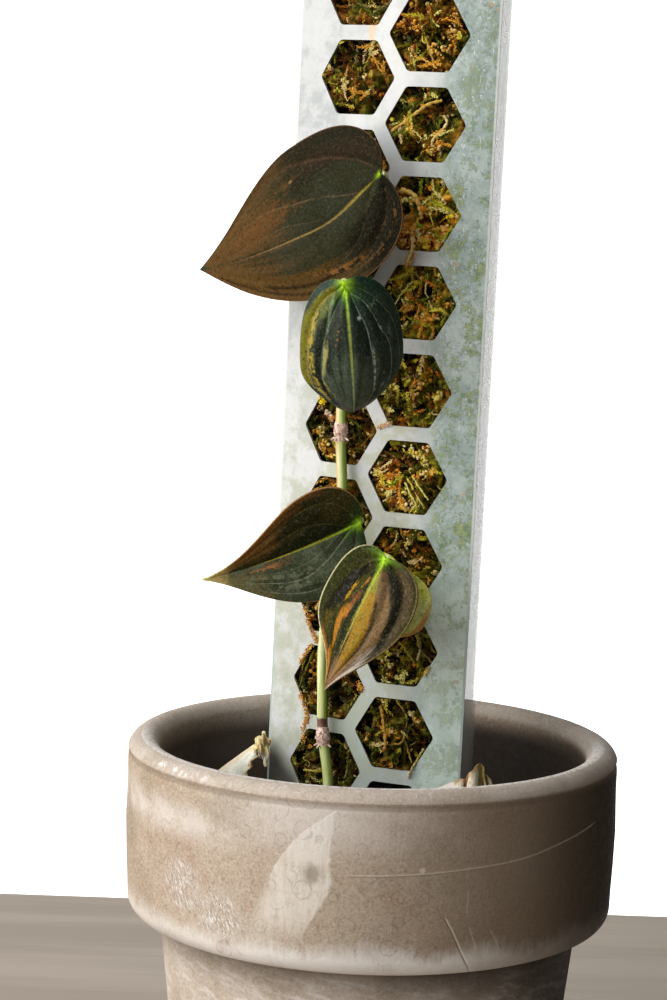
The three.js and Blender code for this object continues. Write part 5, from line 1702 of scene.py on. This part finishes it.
def hanging_leaf_finish():
    f = LeafFinish("leaf_blue_green", 4, 0.8, 0.18)
    f.colour = f.ground("16221a", "2a392b")
    f.patch("1e3a2c", -0.1, 0.26, -1.1, 1.1, 0.7, 0.3)
    # Painted sheen: a grey haze toward the tip.
    f.patch("56614f", 0.5, 0.85, -0.45, 0.5, 0.5, 0.6)
    f.patch("33441c", 0.02, 0.4, -0.5, -0.15, 0.6, 0.6)
    f.patch("2c4a1e", -0.1, 0.2, -0.7, 0.7, 0.7, 0.4)
    olive, gold = "807a16", "b09a34"
    f.streak(RIGHT, [(0.14, 0.5), (0.28, 0.74), (0.34, 0.86), (0.45, 0.95), (0.6, 0.97)], 0.13, olive, 0.9,
        0.5, 0.06)
    f.streak(RIGHT, [(0.1, 0.22), (0.2, 0.34), (0.29, 0.5), (0.36, 0.6)], 0.05, "657028", 0.8, 0.6, 0.05)
    f.crumbs(RIGHT, [(0.3, 0.6), (0.41, 0.8), (0.5, 0.79), (0.68, 0.77)], 0.14, gold, 0.95, 0.55)
    f.crumbs(RIGHT, [(0.4, 0.95), (0.5, 0.93), (0.7, 0.9)], 0.1, "8e7a34", 0.8)
    f.crumbs(RIGHT, [(0.5, 0.66), (0.62, 0.6), (0.75, 0.5)], 0.06, "8a8440", 0.85, 0.55)
    f.crumbs(RIGHT, [(0.62, 0.84), (0.72, 0.8), (0.85, 0.7)], 0.1, "a08c50", 0.8)
    black = "10140c"
    f.streak(RIGHT, [(0.24, 0.2), (0.33, 0.26), (0.44, 0.42), (0.56, 0.44)], 0.045, black, 0.95, 0.4)
    f.streak(RIGHT, [(0.33, 0.13), (0.45, 0.2), (0.6, 0.24), (0.75, 0.25)], 0.035, black, 0.9, 0.4)
    f.streak(RIGHT, [(0.34, 0.57), (0.41, 0.6), (0.5, 0.66), (0.7, 0.68)], 0.04, black, 0.85, 0.6)
    f.streak(LEFT, [(0.4, 0.1), (0.55, 0.12), (0.8, 0.1)], 0.035, black, 0.6, 0.4)
    f.crumbs(RIGHT, [(0.38, 0.9), (0.46, 0.88), (0.6, 0.8)], 0.1, black, 0.95, 0.45)
    f.streak(RIGHT, [(0.42, 0.46), (0.47, 0.49), (0.54, 0.54)], 0.055, "989458", 1, 0.3, 0.015)
    f.crumbs(RIGHT, [(0.34, 0.15), (0.41, 0.22), (0.47, 0.29)], 0.04, "7c6430", 0.9, 0.45)
    f.streak(RIGHT, [(0.2, 0.33), (0.27, 0.38), (0.36, 0.42)], 0.025, "8c9c84", 0.8, 0.6)
    # Sage and frost on the left half are painted sheen, where the velvet catches the light.
    sheen_sage, frost = "7c8c70", "b4c4b4"
    f.crumbs(LEFT, [(0.18, 0.45), (0.28, 0.57), (0.35, 0.62), (0.4, 0.66)], 0.12, sheen_sage, 0.6)
    f.crumbs(LEFT, [(0.3, 0.45), (0.36, 0.5), (0.43, 0.6)], 0.04, frost, 0.8, 0.45)
    f.crumbs(LEFT, [(0.46, 0.35), (0.56, 0.38), (0.68, 0.5)], 0.05, frost, 0.75, 0.45)
    f.crumbs(LEFT, [(0.55, 0.6), (0.62, 0.63), (0.7, 0.7)], 0.07, sheen_sage, 0.7, 0.45)
    lime = "7cc81e"
    f.streak(LEFT, [(0, 0), (0.08, 0.1), (0.14, 0.19), (0.22, 0.3)], 0.012, lime, 0.6, 0.2)
    f.streak(RIGHT, [(0, 0), (0.08, 0.14), (0.16, 0.26), (0.24, 0.36)], 0.03, lime, 0.5, 0.4)
    rib = "8c9c7c"
    f.vein(RIGHT, [(0.02, 0.2), (0.12, 0.36), (0.24, 0.62), (0.32, 0.74), (0.45, 0.84), (0.9, 0.9)], rib,
        0.3, 0.024, 0.8)
    f.vein(RIGHT, [(0.04, 0.05), (0.16, 0.16), (0.28, 0.3), (0.38, 0.44), (0.46, 0.55), (0.64, 0.62),
        (0.95, 0.64)], rib, 0.35, 0.02, 0.9)
    # These pale veins carry painted sheen along them.
    f.vein(LEFT, [(0.02, 0.03), (0.13, 0.19), (0.24, 0.37), (0.32, 0.45), (0.39, 0.53), (0.43, 0.65),
        (0.52, 0.7), (0.63, 0.76), (0.95, 0.8)], frost, 0.6, 0.016, 0.8)
    f.vein(LEFT, [(0.06, 0.04), (0.18, 0.17), (0.3, 0.22), (0.37, 0.28), (0.44, 0.31), (0.55, 0.37),
        (0.68, 0.46), (0.95, 0.5)], frost, 0.6, 0.018, 0.9)
    f.vein(LEFT, [(0.03, 0.1), (0.14, 0.44), (0.24, 0.6), (0.3, 0.68), (0.4, 0.84), (0.6, 0.9)], rib, 0.45,
        0.014, 0.5)
    f.midrib("b4e82c", "8e9a44", "96a284", 0.026, 3.2)
    f.base_point("c0f42c", 0.17)
    # A painted glint.
    f.patch("f4fff8", 0.318, 0.332, 0.16, 0.22, 0.9, 0.25, 0.008)
    f.rim("5a7a5c", 0.6)
    return f.done("8c9c80", (0.5, 0.3), light=0.2)


def folded_leaf_finish():
    f = LeafFinish("leaf_dark_green", 7, 0.5, 0.1)
    lower = f.rise(f.q, -0.04, 0.04)
    upper_ground = f.ground("25240c", "3a3412")
    lower_ground = f.ground("3c4530", "5c664e")
    f.colour = f.mix(lower, upper_ground, lower_ground)
    f.patch("704e20", 0.62, 1.1, -1.1, -0.3, 0.85)
    f.patch("7c5024", 0.4, 1.1, -1.1, -0.9, 0.6, 0.3)
    # Painted shade darkens the blade beside its midrib near the base.
    f.patch("16200c", 0.05, 0.6, -0.32, -0.02, 0.75, 0.4)
    f.patch("223c14", -0.1, 0.2, -1.1, 1.1, 0.8, 0.3)
    f.patch("3a5a18", -0.1, 0.11, -0.6, 0.6, 0.7, 0.3)
    f.patch("7a7048", 0.7, 1.1, 0.3, 1.1, 0.6)
    f.crumbs(LEFT, [(0.4, 0.45), (0.55, 0.5), (0.8, 0.55)], 0.4, "8c9478", 0.5, 0.45)
    f.crumbs(LEFT, [(0.58, 0.08), (0.7, 0.2), (0.86, 0.3)], 0.16, "7c5c3a", 0.85, 0.55)
    f.crumbs(LEFT, [(0.64, 0.14), (0.74, 0.2), (0.83, 0.28)], 0.07, "b88050", 0.85)
    f.streak(RIGHT, [(0.5, 0.85), (0.65, 0.84), (0.9, 0.8)], 0.05, "8c5424", 0.6, 0.6, 0.05)
    faint, silver = "6a6638", "a4ac90"
    f.vein(RIGHT, [(0.03, 0.1), (0.1, 0.34), (0.28, 0.64), (0.39, 0.72), (0.49, 0.74), (0.61, 0.72),
        (0.73, 0.71), (0.95, 0.72)], faint, 0.7, 0.022, 0.35)
    f.vein(RIGHT, [(0.08, 0.02), (0.17, 0.11), (0.38, 0.34), (0.49, 0.41), (0.65, 0.41), (0.9, 0.4)],
        faint, 0.5, 0.02, 0.3)
    f.vein(LEFT, [(0.04, 0.06), (0.09, 0.2), (0.21, 0.55), (0.36, 0.67), (0.48, 0.77), (0.8, 0.82)],
        silver, 0.6, 0.018, 0.3)
    f.vein(LEFT, [(0.06, 0.03), (0.12, 0.13), (0.3, 0.27), (0.43, 0.4), (0.55, 0.54), (0.68, 0.58),
        (0.9, 0.6)], silver, 0.7, 0.018, 0.35)
    f.vein(LEFT, [(0.18, 0), (0.34, 0.14), (0.55, 0.3), (0.85, 0.35)], silver, 0.35, 0.014, 0.2)
    lime = "8cd41c"
    f.streak(LEFT, [(0.02, 0), (0.12, 0.13), (0.24, 0.22)], 0.014, lime, 0.6, 0.3)
    f.streak(RIGHT, [(0.02, 0.05), (0.1, 0.3), (0.2, 0.5)], 0.014, lime, 0.5, 0.3)
    f.midrib("c0fc30", "c8cc3a", "c89a5a", 0.03, 3.2)
    f.base_point("bcf628", 0.16)
    f.rim("b07c48", 0.75, 0.018)
    f.lay(f.rise(f.add(f.t, f.times(f.torn, 0.2)), 0.84, 0.95, 0, 0.85), "c4ac68")
    f.lay(f.rise(f.t, 0.95, 0.98), "d4cc84")
    return f.done("a8a68c", (0.5, 0.36), light=0.2)


def variegated_leaf_finish():
    f = LeafFinish("leaf_variegated", 9, 0.5, 0.04)
    f.colour = f.mix(f.rise(f.q, 0.03, -0.03), f.mix(f.rise(f.soft, 0.4, 0.6), "2e2818", "453a28"),
                     f.mix(f.rise(f.strokes, 0.4, 0.6), "1f200e", "3a3a12"))
    f.streak(RIGHT, [(0.5, 0.62), (0.64, 0.75), (0.73, 0.87), (0.9, 0.97)], 0.12, "50420f", 0.85)
    f.streak(RIGHT, [(0.56, 0.5), (0.7, 0.62), (0.82, 0.8)], 0.05, "30300e", 0.8)
    f.streak(RIGHT, [(-0.1, 0.6), (0.12, 0.71), (0.26, 0.82), (0.35, 0.86), (0.45, 0.9), (0.58, 0.94)],
        0.12, "2f330e", 0.85, 0.4, 0.06)
    f.patch("52701a", -0.1, 0.17, -1.1, 1.1, 0.75, 0.35)
    dark = "14150c"
    f.streak(RIGHT, [(0.24, 0.3), (0.38, 0.47), (0.43, 0.53), (0.48, 0.6), (0.56, 0.72)], 0.14, dark, 0.92)
    f.crumbs(RIGHT, [(0.3, 0.4), (0.4, 0.5), (0.5, 0.6)], 0.1, "302f34", 0.7, 0.45)
    f.streak(RIGHT, [(0.29, 0.06), (0.42, 0.05), (0.51, 0.1), (0.61, 0.14), (0.72, 0.17), (0.84, 0.2)],
        0.045, "1b2212", 0.95, 0.3)
    rust, orange = "7c4a28", "b07424"
    f.streak(RIGHT, [(0.4, 0.14), (0.48, 0.2), (0.55, 0.27), (0.64, 0.35)], 0.045, rust, 0.95)
    f.streak(RIGHT, [(0.5, 0.26), (0.58, 0.34), (0.66, 0.39), (0.76, 0.48), (0.86, 0.7), (0.96, 0.8)],
        0.085, orange, 0.9, 0.6, 0.05)
    f.streak(RIGHT, [(0.32, 0.28), (0.39, 0.31), (0.46, 0.38)], 0.02, "b88a24", 0.95, 0.7, 0.012)
    f.streak(RIGHT, [(0.28, 0.12), (0.36, 0.17), (0.43, 0.26)], 0.014, "b07828", 0.9, 0.6, 0.012)
    f.streak(LEFT, [(0.2, 0.16), (0.34, 0.27), (0.45, 0.43), (0.54, 0.53), (0.63, 0.62), (0.74, 0.68),
        (0.88, 0.7)], 0.13, "7a6040", 0.92, 0.4, 0.04)
    f.crumbs(LEFT, [(0.24, 0.2), (0.4, 0.36), (0.6, 0.6)], 0.1, "54402e", 0.6, 0.45)
    f.streak(LEFT, [(0.12, 0.38), (0.31, 0.51), (0.41, 0.64), (0.5, 0.7), (0.56, 0.74), (0.66, 0.84)],
        0.075, dark, 0.96, 0.4)
    f.streak(LEFT, [(0.18, 0.66), (0.31, 0.78), (0.4, 0.88), (0.56, 0.92)], 0.08, "4c4028", 0.85, 0.6)
    f.crumbs(LEFT, [(0.2, 0.62), (0.35, 0.8), (0.5, 0.9)], 0.12, "786848", 0.6, 0.4)
    f.patch("30300f", 0.12, 0.55, 0.92, 1.1, 0.9, 0.15)
    olive, ochre = "8c8a38", "a07a24"
    f.streak(LEFT, [(0.1, 0.01), (0.3, 0.05), (0.42, 0.08), (0.52, 0.1)], 0.1, olive, 0.95, 0.25)
    f.streak(LEFT, [(0.38, 0.05), (0.5, 0.13), (0.6, 0.19), (0.7, 0.24), (0.82, 0.28), (0.92, 0.3)], 0.15,
        ochre, 0.95, 0.3, 0.04)
    f.crumbs(LEFT, [(0.5, 0.15), (0.62, 0.2), (0.8, 0.26)], 0.14, "7c7c2c", 0.7, 0.45)
    f.crumbs(LEFT, [(0.58, 0.3), (0.64, 0.36), (0.7, 0.4)], 0.06, "c0762a")
    f.crumbs(RIGHT, [(0.2, 0), (0.5, 0.02), (0.8, 0.05)], 0.06, "7c7a2c", 0.6)
    pointed = f.rise(f.add(f.t, f.times(f.stray, 0.3), f.times(f.torn, 0.2)), 0.76, 0.9)
    f.lay(f.times(pointed, f.rise(f.q, -0.3, -0.1), 0.85), "927050")
    f.lay(f.times(pointed, f.rise(f.q, -0.35, -0.6), 0.85), "b0742a")
    # Painted highlight along the edge near the tip.
    f.patch("c8bcae", 0.72, 1.1, 0.72, 1.1, 0.7, 0.6)
    f.patch("b07c40", 0.7, 1.1, -1.1, -0.86, 0.8, 0.2)
    f.midrib("b0d838", "a4a042", "8c7440", 0.032, 3.2)
    f.base_point("b0e828", 0.16)
    f.lay(f.times(f.rise(f.q, -0.955, -0.985), f.rise(f.t, 0.1, 0.3)), "d4cca0")
    f.lay(f.times(f.rise(f.q, 0.96, 0.985), 0.6), "8c7448")
    f.reliefs += folds_of_variegated(f)
    return f.done("a09472", (0.5, 0.36), dark=0.55, light=0.24)


def folds_of_variegated(f):
    """Lengthwise folds that carry no vein colour."""
    lines = (
        (RIGHT, [(0.05, 0.1), (0.3, 0.38), (0.6, 0.46), (0.95, 0.5)]),
        (RIGHT, [(0.05, 0.3), (0.3, 0.72), (0.6, 0.78), (0.95, 0.8)]),
        (LEFT, [(0.05, 0.1), (0.3, 0.36), (0.6, 0.44), (0.95, 0.5)]),
        (LEFT, [(0.05, 0.3), (0.3, 0.7), (0.6, 0.76), (0.95, 0.8)]),
    )
    return [(side, f.drawn(0, points)[1], 0.05, 0.95, 0.8) for side, points in lines]


def small_leaf_finish():
    f = LeafFinish("leaf_lime", 12, 0.3, 0.2)
    # The blade is painted lighter than its own green: painted light, where the leaves above shade it.
    f.colour = f.ground("d4da5c", "eef0a0")
    f.lay(f.rise(f.mottle, 0.5, 0.62, 0, 0.65), "7c9030")
    f.patch("c07838", 0.4, 0.75, 0.9, 1.1, 0.9, 0.3)
    f.patch("90982c", 0.3, 0.9, 0.55, 0.84, 0.5, 0.3)
    for half in (LEFT, RIGHT):
        f.vein(half, [(0.03, 0.1), (0.15, 0.4), (0.35, 0.62), (0.9, 0.7)], "e4e8a8", 0.5, 0.025, 0.25)
    f.midrib("c8dc60", "c0cc64", "a4ac50")
    f.rim("c8ac60", 0.6, 0.03)
    return f.done("f0f0b0", (0.5, 0.4), dark=0.25)


# Dry sheaths


def bent_sheet(foot, top, columns, rows, offset):
    """A sheet between a foot edge and a top edge; offset gives each point's push and shade."""
    low = smooth_path(foot, 12)
    high = smooth_path(top, 12)
    fresh()
    bpy.ops.mesh.primitive_grid_add(x_subdivisions=columns, y_subdivisions=rows, size=2)
    sheet = bpy.context.object
    flat = np.array([v.co for v in sheet.data.vertices])
    along = (flat[:, 0] + 1) / 2
    rise = (flat[:, 1] + 1) / 2
    spots = []
    shades = []
    for a, r in zip(along, rise):
        start = [np.interp(a, np.linspace(0, 1, len(low)), low[:, k]) for k in range(3)]
        end = [np.interp(a, np.linspace(0, 1, len(high)), high[:, k]) for k in range(3)]
        push, shade = offset(a, r)
        spots.append(np.array(start) * (1 - r) + np.array(end) * r + push)
        shades.append(shade)
    sheet.data.vertices.foreach_set("co", (np.array(spots) * MM).ravel())
    note_values(sheet, across=along, up=rise, hollow=np.array(shades))
    sheet.data.update()
    apply_modifier(sheet, "SOLIDIFY", thickness=PAPER_THICKNESS * MM, offset=0)
    return sheet


def make_left_sheath():
    foot = [(-53.5, 5, 98.5), (-46, 3, 98.5), (-40.5, 2, 98.6)]
    top = [(-33, 7, 119.2), (-32.4, 5.6, 119), (-32.6, 4, 117.8)]

    def crumple(a, r):
        torn = math.sin(42 * r + 1) * r * r * a ** 6
        bow = -3 * math.sin(math.pi * r) * (1 - a)
        fold = -math.sin(math.pi * a) * (1 - 0.5 * r) - 0.3 * math.sin(11 * r + 5 * a)
        return np.array((bow + torn, fold, 0.3 * math.sin(19 * a) * r ** 5)), 0

    def knot(a, r):
        rough = math.sin(9 * a + 5 * r) * math.sin(7 * r + 2) + 0.4 * math.sin(23 * a + 11 * r)
        fringe = 0.5 * math.sin(13 * a) * r ** 3 - 0.7 * math.sin(15 * a + 2) * (1 - r) ** 3
        return np.array((0.25 * rough, -0.9 * rough, fringe)), rough

    body = bent_sheet(foot, top, 40, 40, crumple)
    low = [(-33.6, 4.6, 118.4), (-31.6, 4.2, 115.6), (-29.9, 4.8, 113.2)]
    high = [(-33.2, 5.6, 120.6), (-31.3, 4.4, 122.9), (-29.3, 4.8, 121.2)]
    curl = bent_sheet(low, high, 32, 32, knot)
    paper = joined([body, curl])
    dress(paper, "dry_sheath_left_paper", "dry_sheath_left", sheath_finish("left"), 60)


def make_right_sheath():
    foot = [(8, -19.5), (17, -24), (27, -27), (33, -25), (38, -19), (41, -12)]
    foot = [(x, y, 98) for x, y in foot]
    top = [(11, -16.3, 110.4), (17.2, -18, 113.4), (23.4, -19.4, 116.6), (26.6, -20.4, 118.4),
           (29.4, -19.6, 120.8), (31.6, -17.6, 117.6), (34.6, -14.5, 113.4), (37, -12, 109.5)]

    def flutes(a, r):
        crumpled = min(max((a - 0.3) / 0.06, 0), 1)
        phase = 2 * math.pi * 8.5 * a + 2.2 * math.sin(7 * a) + 1.1 * math.sin(5 * r + 11 * a)
        wave = math.cos(phase)
        reach = 1.7 * crumpled * math.sin(math.pi * (0.15 + 0.7 * r))
        torn = (0.35 * math.sin(47 * a) + 0.3 * math.sin(23 * a + 2)) * r ** 4 * crumpled
        ripple = 0.5 * math.sin(9 * r + 20 * a) * crumpled
        hollow = crumpled * min(max(0.5 - wave, 0), 1)
        return np.array((0.6 * math.sin(phase * 0.7) * crumpled, ripple - wave * reach, torn)), hollow

    paper = bent_sheet(foot, top, 130, 44, flutes)
    dress(paper, "dry_sheath_right_paper", "dry_sheath_right", sheath_finish("right"), 60)


def sheath_finish(side):
    f = Finish("dry_sheath_" + side, Roughness=0.65)
    place = f.place()
    x, _, z = f.split(place)
    across, up, hollow = f.noted("across"), f.noted("up"), f.noted("hollow")
    streaks = f.cloud(f.stretch(place, (900, 900, 110)), 1, 4, 0.65)
    blotch = f.cloud(place, 330, 4, 0.65)
    fine = f.cloud(place, 1300, 3, 0.7)
    stray = f.less(blotch, 0.5)
    level = f.times(z, 1000)
    if side == "left":
        f.colour = f.mix(f.rise(blotch, 0.35, 0.65), "dfe0cc", "f6f2e4")
        f.lay(f.times(f.rise(across, 0.35, 0), f.rise(up, 0.4, 0.8)), "efd6b8")
        torn = f.times(f.rise(f.add(across, f.times(stray, 0.9)), 0.8, 0.98), f.rise(up, 0.55, 0.7))
        at_knot = f.rise(f.add(level, f.times(stray, 5)), 116.8, 118.2)
        f.lay(at_knot, f.mix(f.rise(fine, 0.4, 0.6), "d8c684", "f6edc2"))
        # The knot's hollows get painted shade, in the torn edge's brown.
        torn = f.most(torn, f.times(f.rise(hollow, 0.15, 0.6), f.rise(fine, 0.35, 0.6, 0.4, 1)))
        f.lay(torn, f.mix(f.rise(fine, 0.4, 0.58), "8c5c28", "e8c88c"))
    else:
        f.colour = f.mix(f.rise(streaks, 0.35, 0.6), "cdb282", "fffae6")
        husk = f.rise(f.add(x, f.times(stray, 0.004)), 0.0215, 0.0235)
        f.lay(f.less(1, husk), "f6ece2")
        # Painted shade in the hollows of the flutes.
        f.lay(f.times(f.rise(f.add(hollow, stray), 0.3, 0.7), husk, 0.92), "5c3a1c")
        edge = f.rise(f.add(up, f.times(stray, 0.3)), 0.9, 1)
        f.lay(f.times(edge, husk, 0.8), "a87434")
        olive = f.times(f.rise(x, 0.0275, 0.0305), f.rise(f.add(level, f.times(stray, 8)), 112, 117))
        f.lay(f.times(olive, 0.8), "a89a50")
    f.paint()
    f.emboss(f.add(streaks, blotch), 0.3)
    return f.material


# Camera, floor and light


def set_camera():
    pitch, yaw, roll = (math.radians(a) for a in (CAMERA_PITCH, CAMERA_YAW, CAMERA_ROLL))
    turn = Matrix.Rotation(-yaw, 4, "Z") @ Matrix.Rotation(math.pi / 2 - pitch, 4, "X")
    data = bpy.data.cameras.new("camera")
    data.sensor_fit = "VERTICAL"
    data.sensor_height = CAMERA_FRAME
    data.lens = CAMERA_LENS
    data.clip_start = 0.02
    camera = placed("camera", data)
    place = Matrix.Translation(Vector(CAMERA_PLACE))
    camera.matrix_world = place @ turn @ Matrix.Rotation(roll, 4, "Z")
    bpy.context.scene.camera = camera


def set_floor():
    """A plain pale table top, which ends a little way behind the pot."""
    fresh()
    depth = TABLE_BACK - TABLE_FRONT
    bpy.ops.mesh.primitive_plane_add(size=1, location=(0, (TABLE_BACK + TABLE_FRONT) / 2, 0))
    floor = bpy.context.object
    bpy.ops.transform.resize(value=(TABLE_WIDTH, depth, 1))
    bpy.ops.object.transform_apply()
    floor.name = "floor"
    f = Finish("floor", Roughness=0.8)
    grain = f.cloud(f.stretch(f.place(), (3, 40, 3)), 1, 4, 0.6)
    f.colour = f.mix(f.rise(grain, 0.35, 0.65), "aca092", "bbafa1")
    f.paint()
    floor.data.materials.append(f.material)


class Studio(Finish):
    """What surrounds the object: a white wall behind it, dim elsewhere, lighter at the left."""

    def __init__(self):
        world = bpy.data.worlds.new("studio")
        bpy.context.scene.world = world
        world.use_nodes = True
        self.tree = world.node_tree
        x, y, _ = self.split(self.place())
        room = self.mix(self.rise(x, 0.3, -0.8), ROOM_DIM, ROOM_LEFT)
        around = self.mix(self.rise(y, 0.88, 0.95), room, WALL_WHITE)
        self.put(self.tree.nodes["Background"].inputs["Color"], around)


def set_light():
    """One soft light, as from a window at the upper left."""
    Studio()
    data = bpy.data.lights.new("window_left", "AREA")
    data.size = LIGHT_SIZE
    data.energy = LIGHT_POWER
    data.color = LIGHT_COLOUR
    light = placed("window_left", data)
    light.location = LIGHT_PLACE
    aim = Vector(LIGHT_AIM) - Vector(LIGHT_PLACE)
    light.rotation_euler = aim.to_track_quat("-Z", "Y").to_euler()
    bpy.context.scene.view_settings.view_transform = "Standard"


set_camera()
set_floor()
set_light()
make_pot()
make_soil()
make_sheet()
make_moss_core()
make_moss("right")
make_moss("left")
make_vine()
make_leaf("leaf_top", top_leaf_finish())
make_leaf("leaf_hanging", hanging_leaf_finish())
make_leaf("leaf_folded", folded_leaf_finish())
make_leaf("leaf_variegated", variegated_leaf_finish())
make_leaf("leaf_small_green", small_leaf_finish())
make_left_sheath()
make_right_sheath()
make_moss_cap()
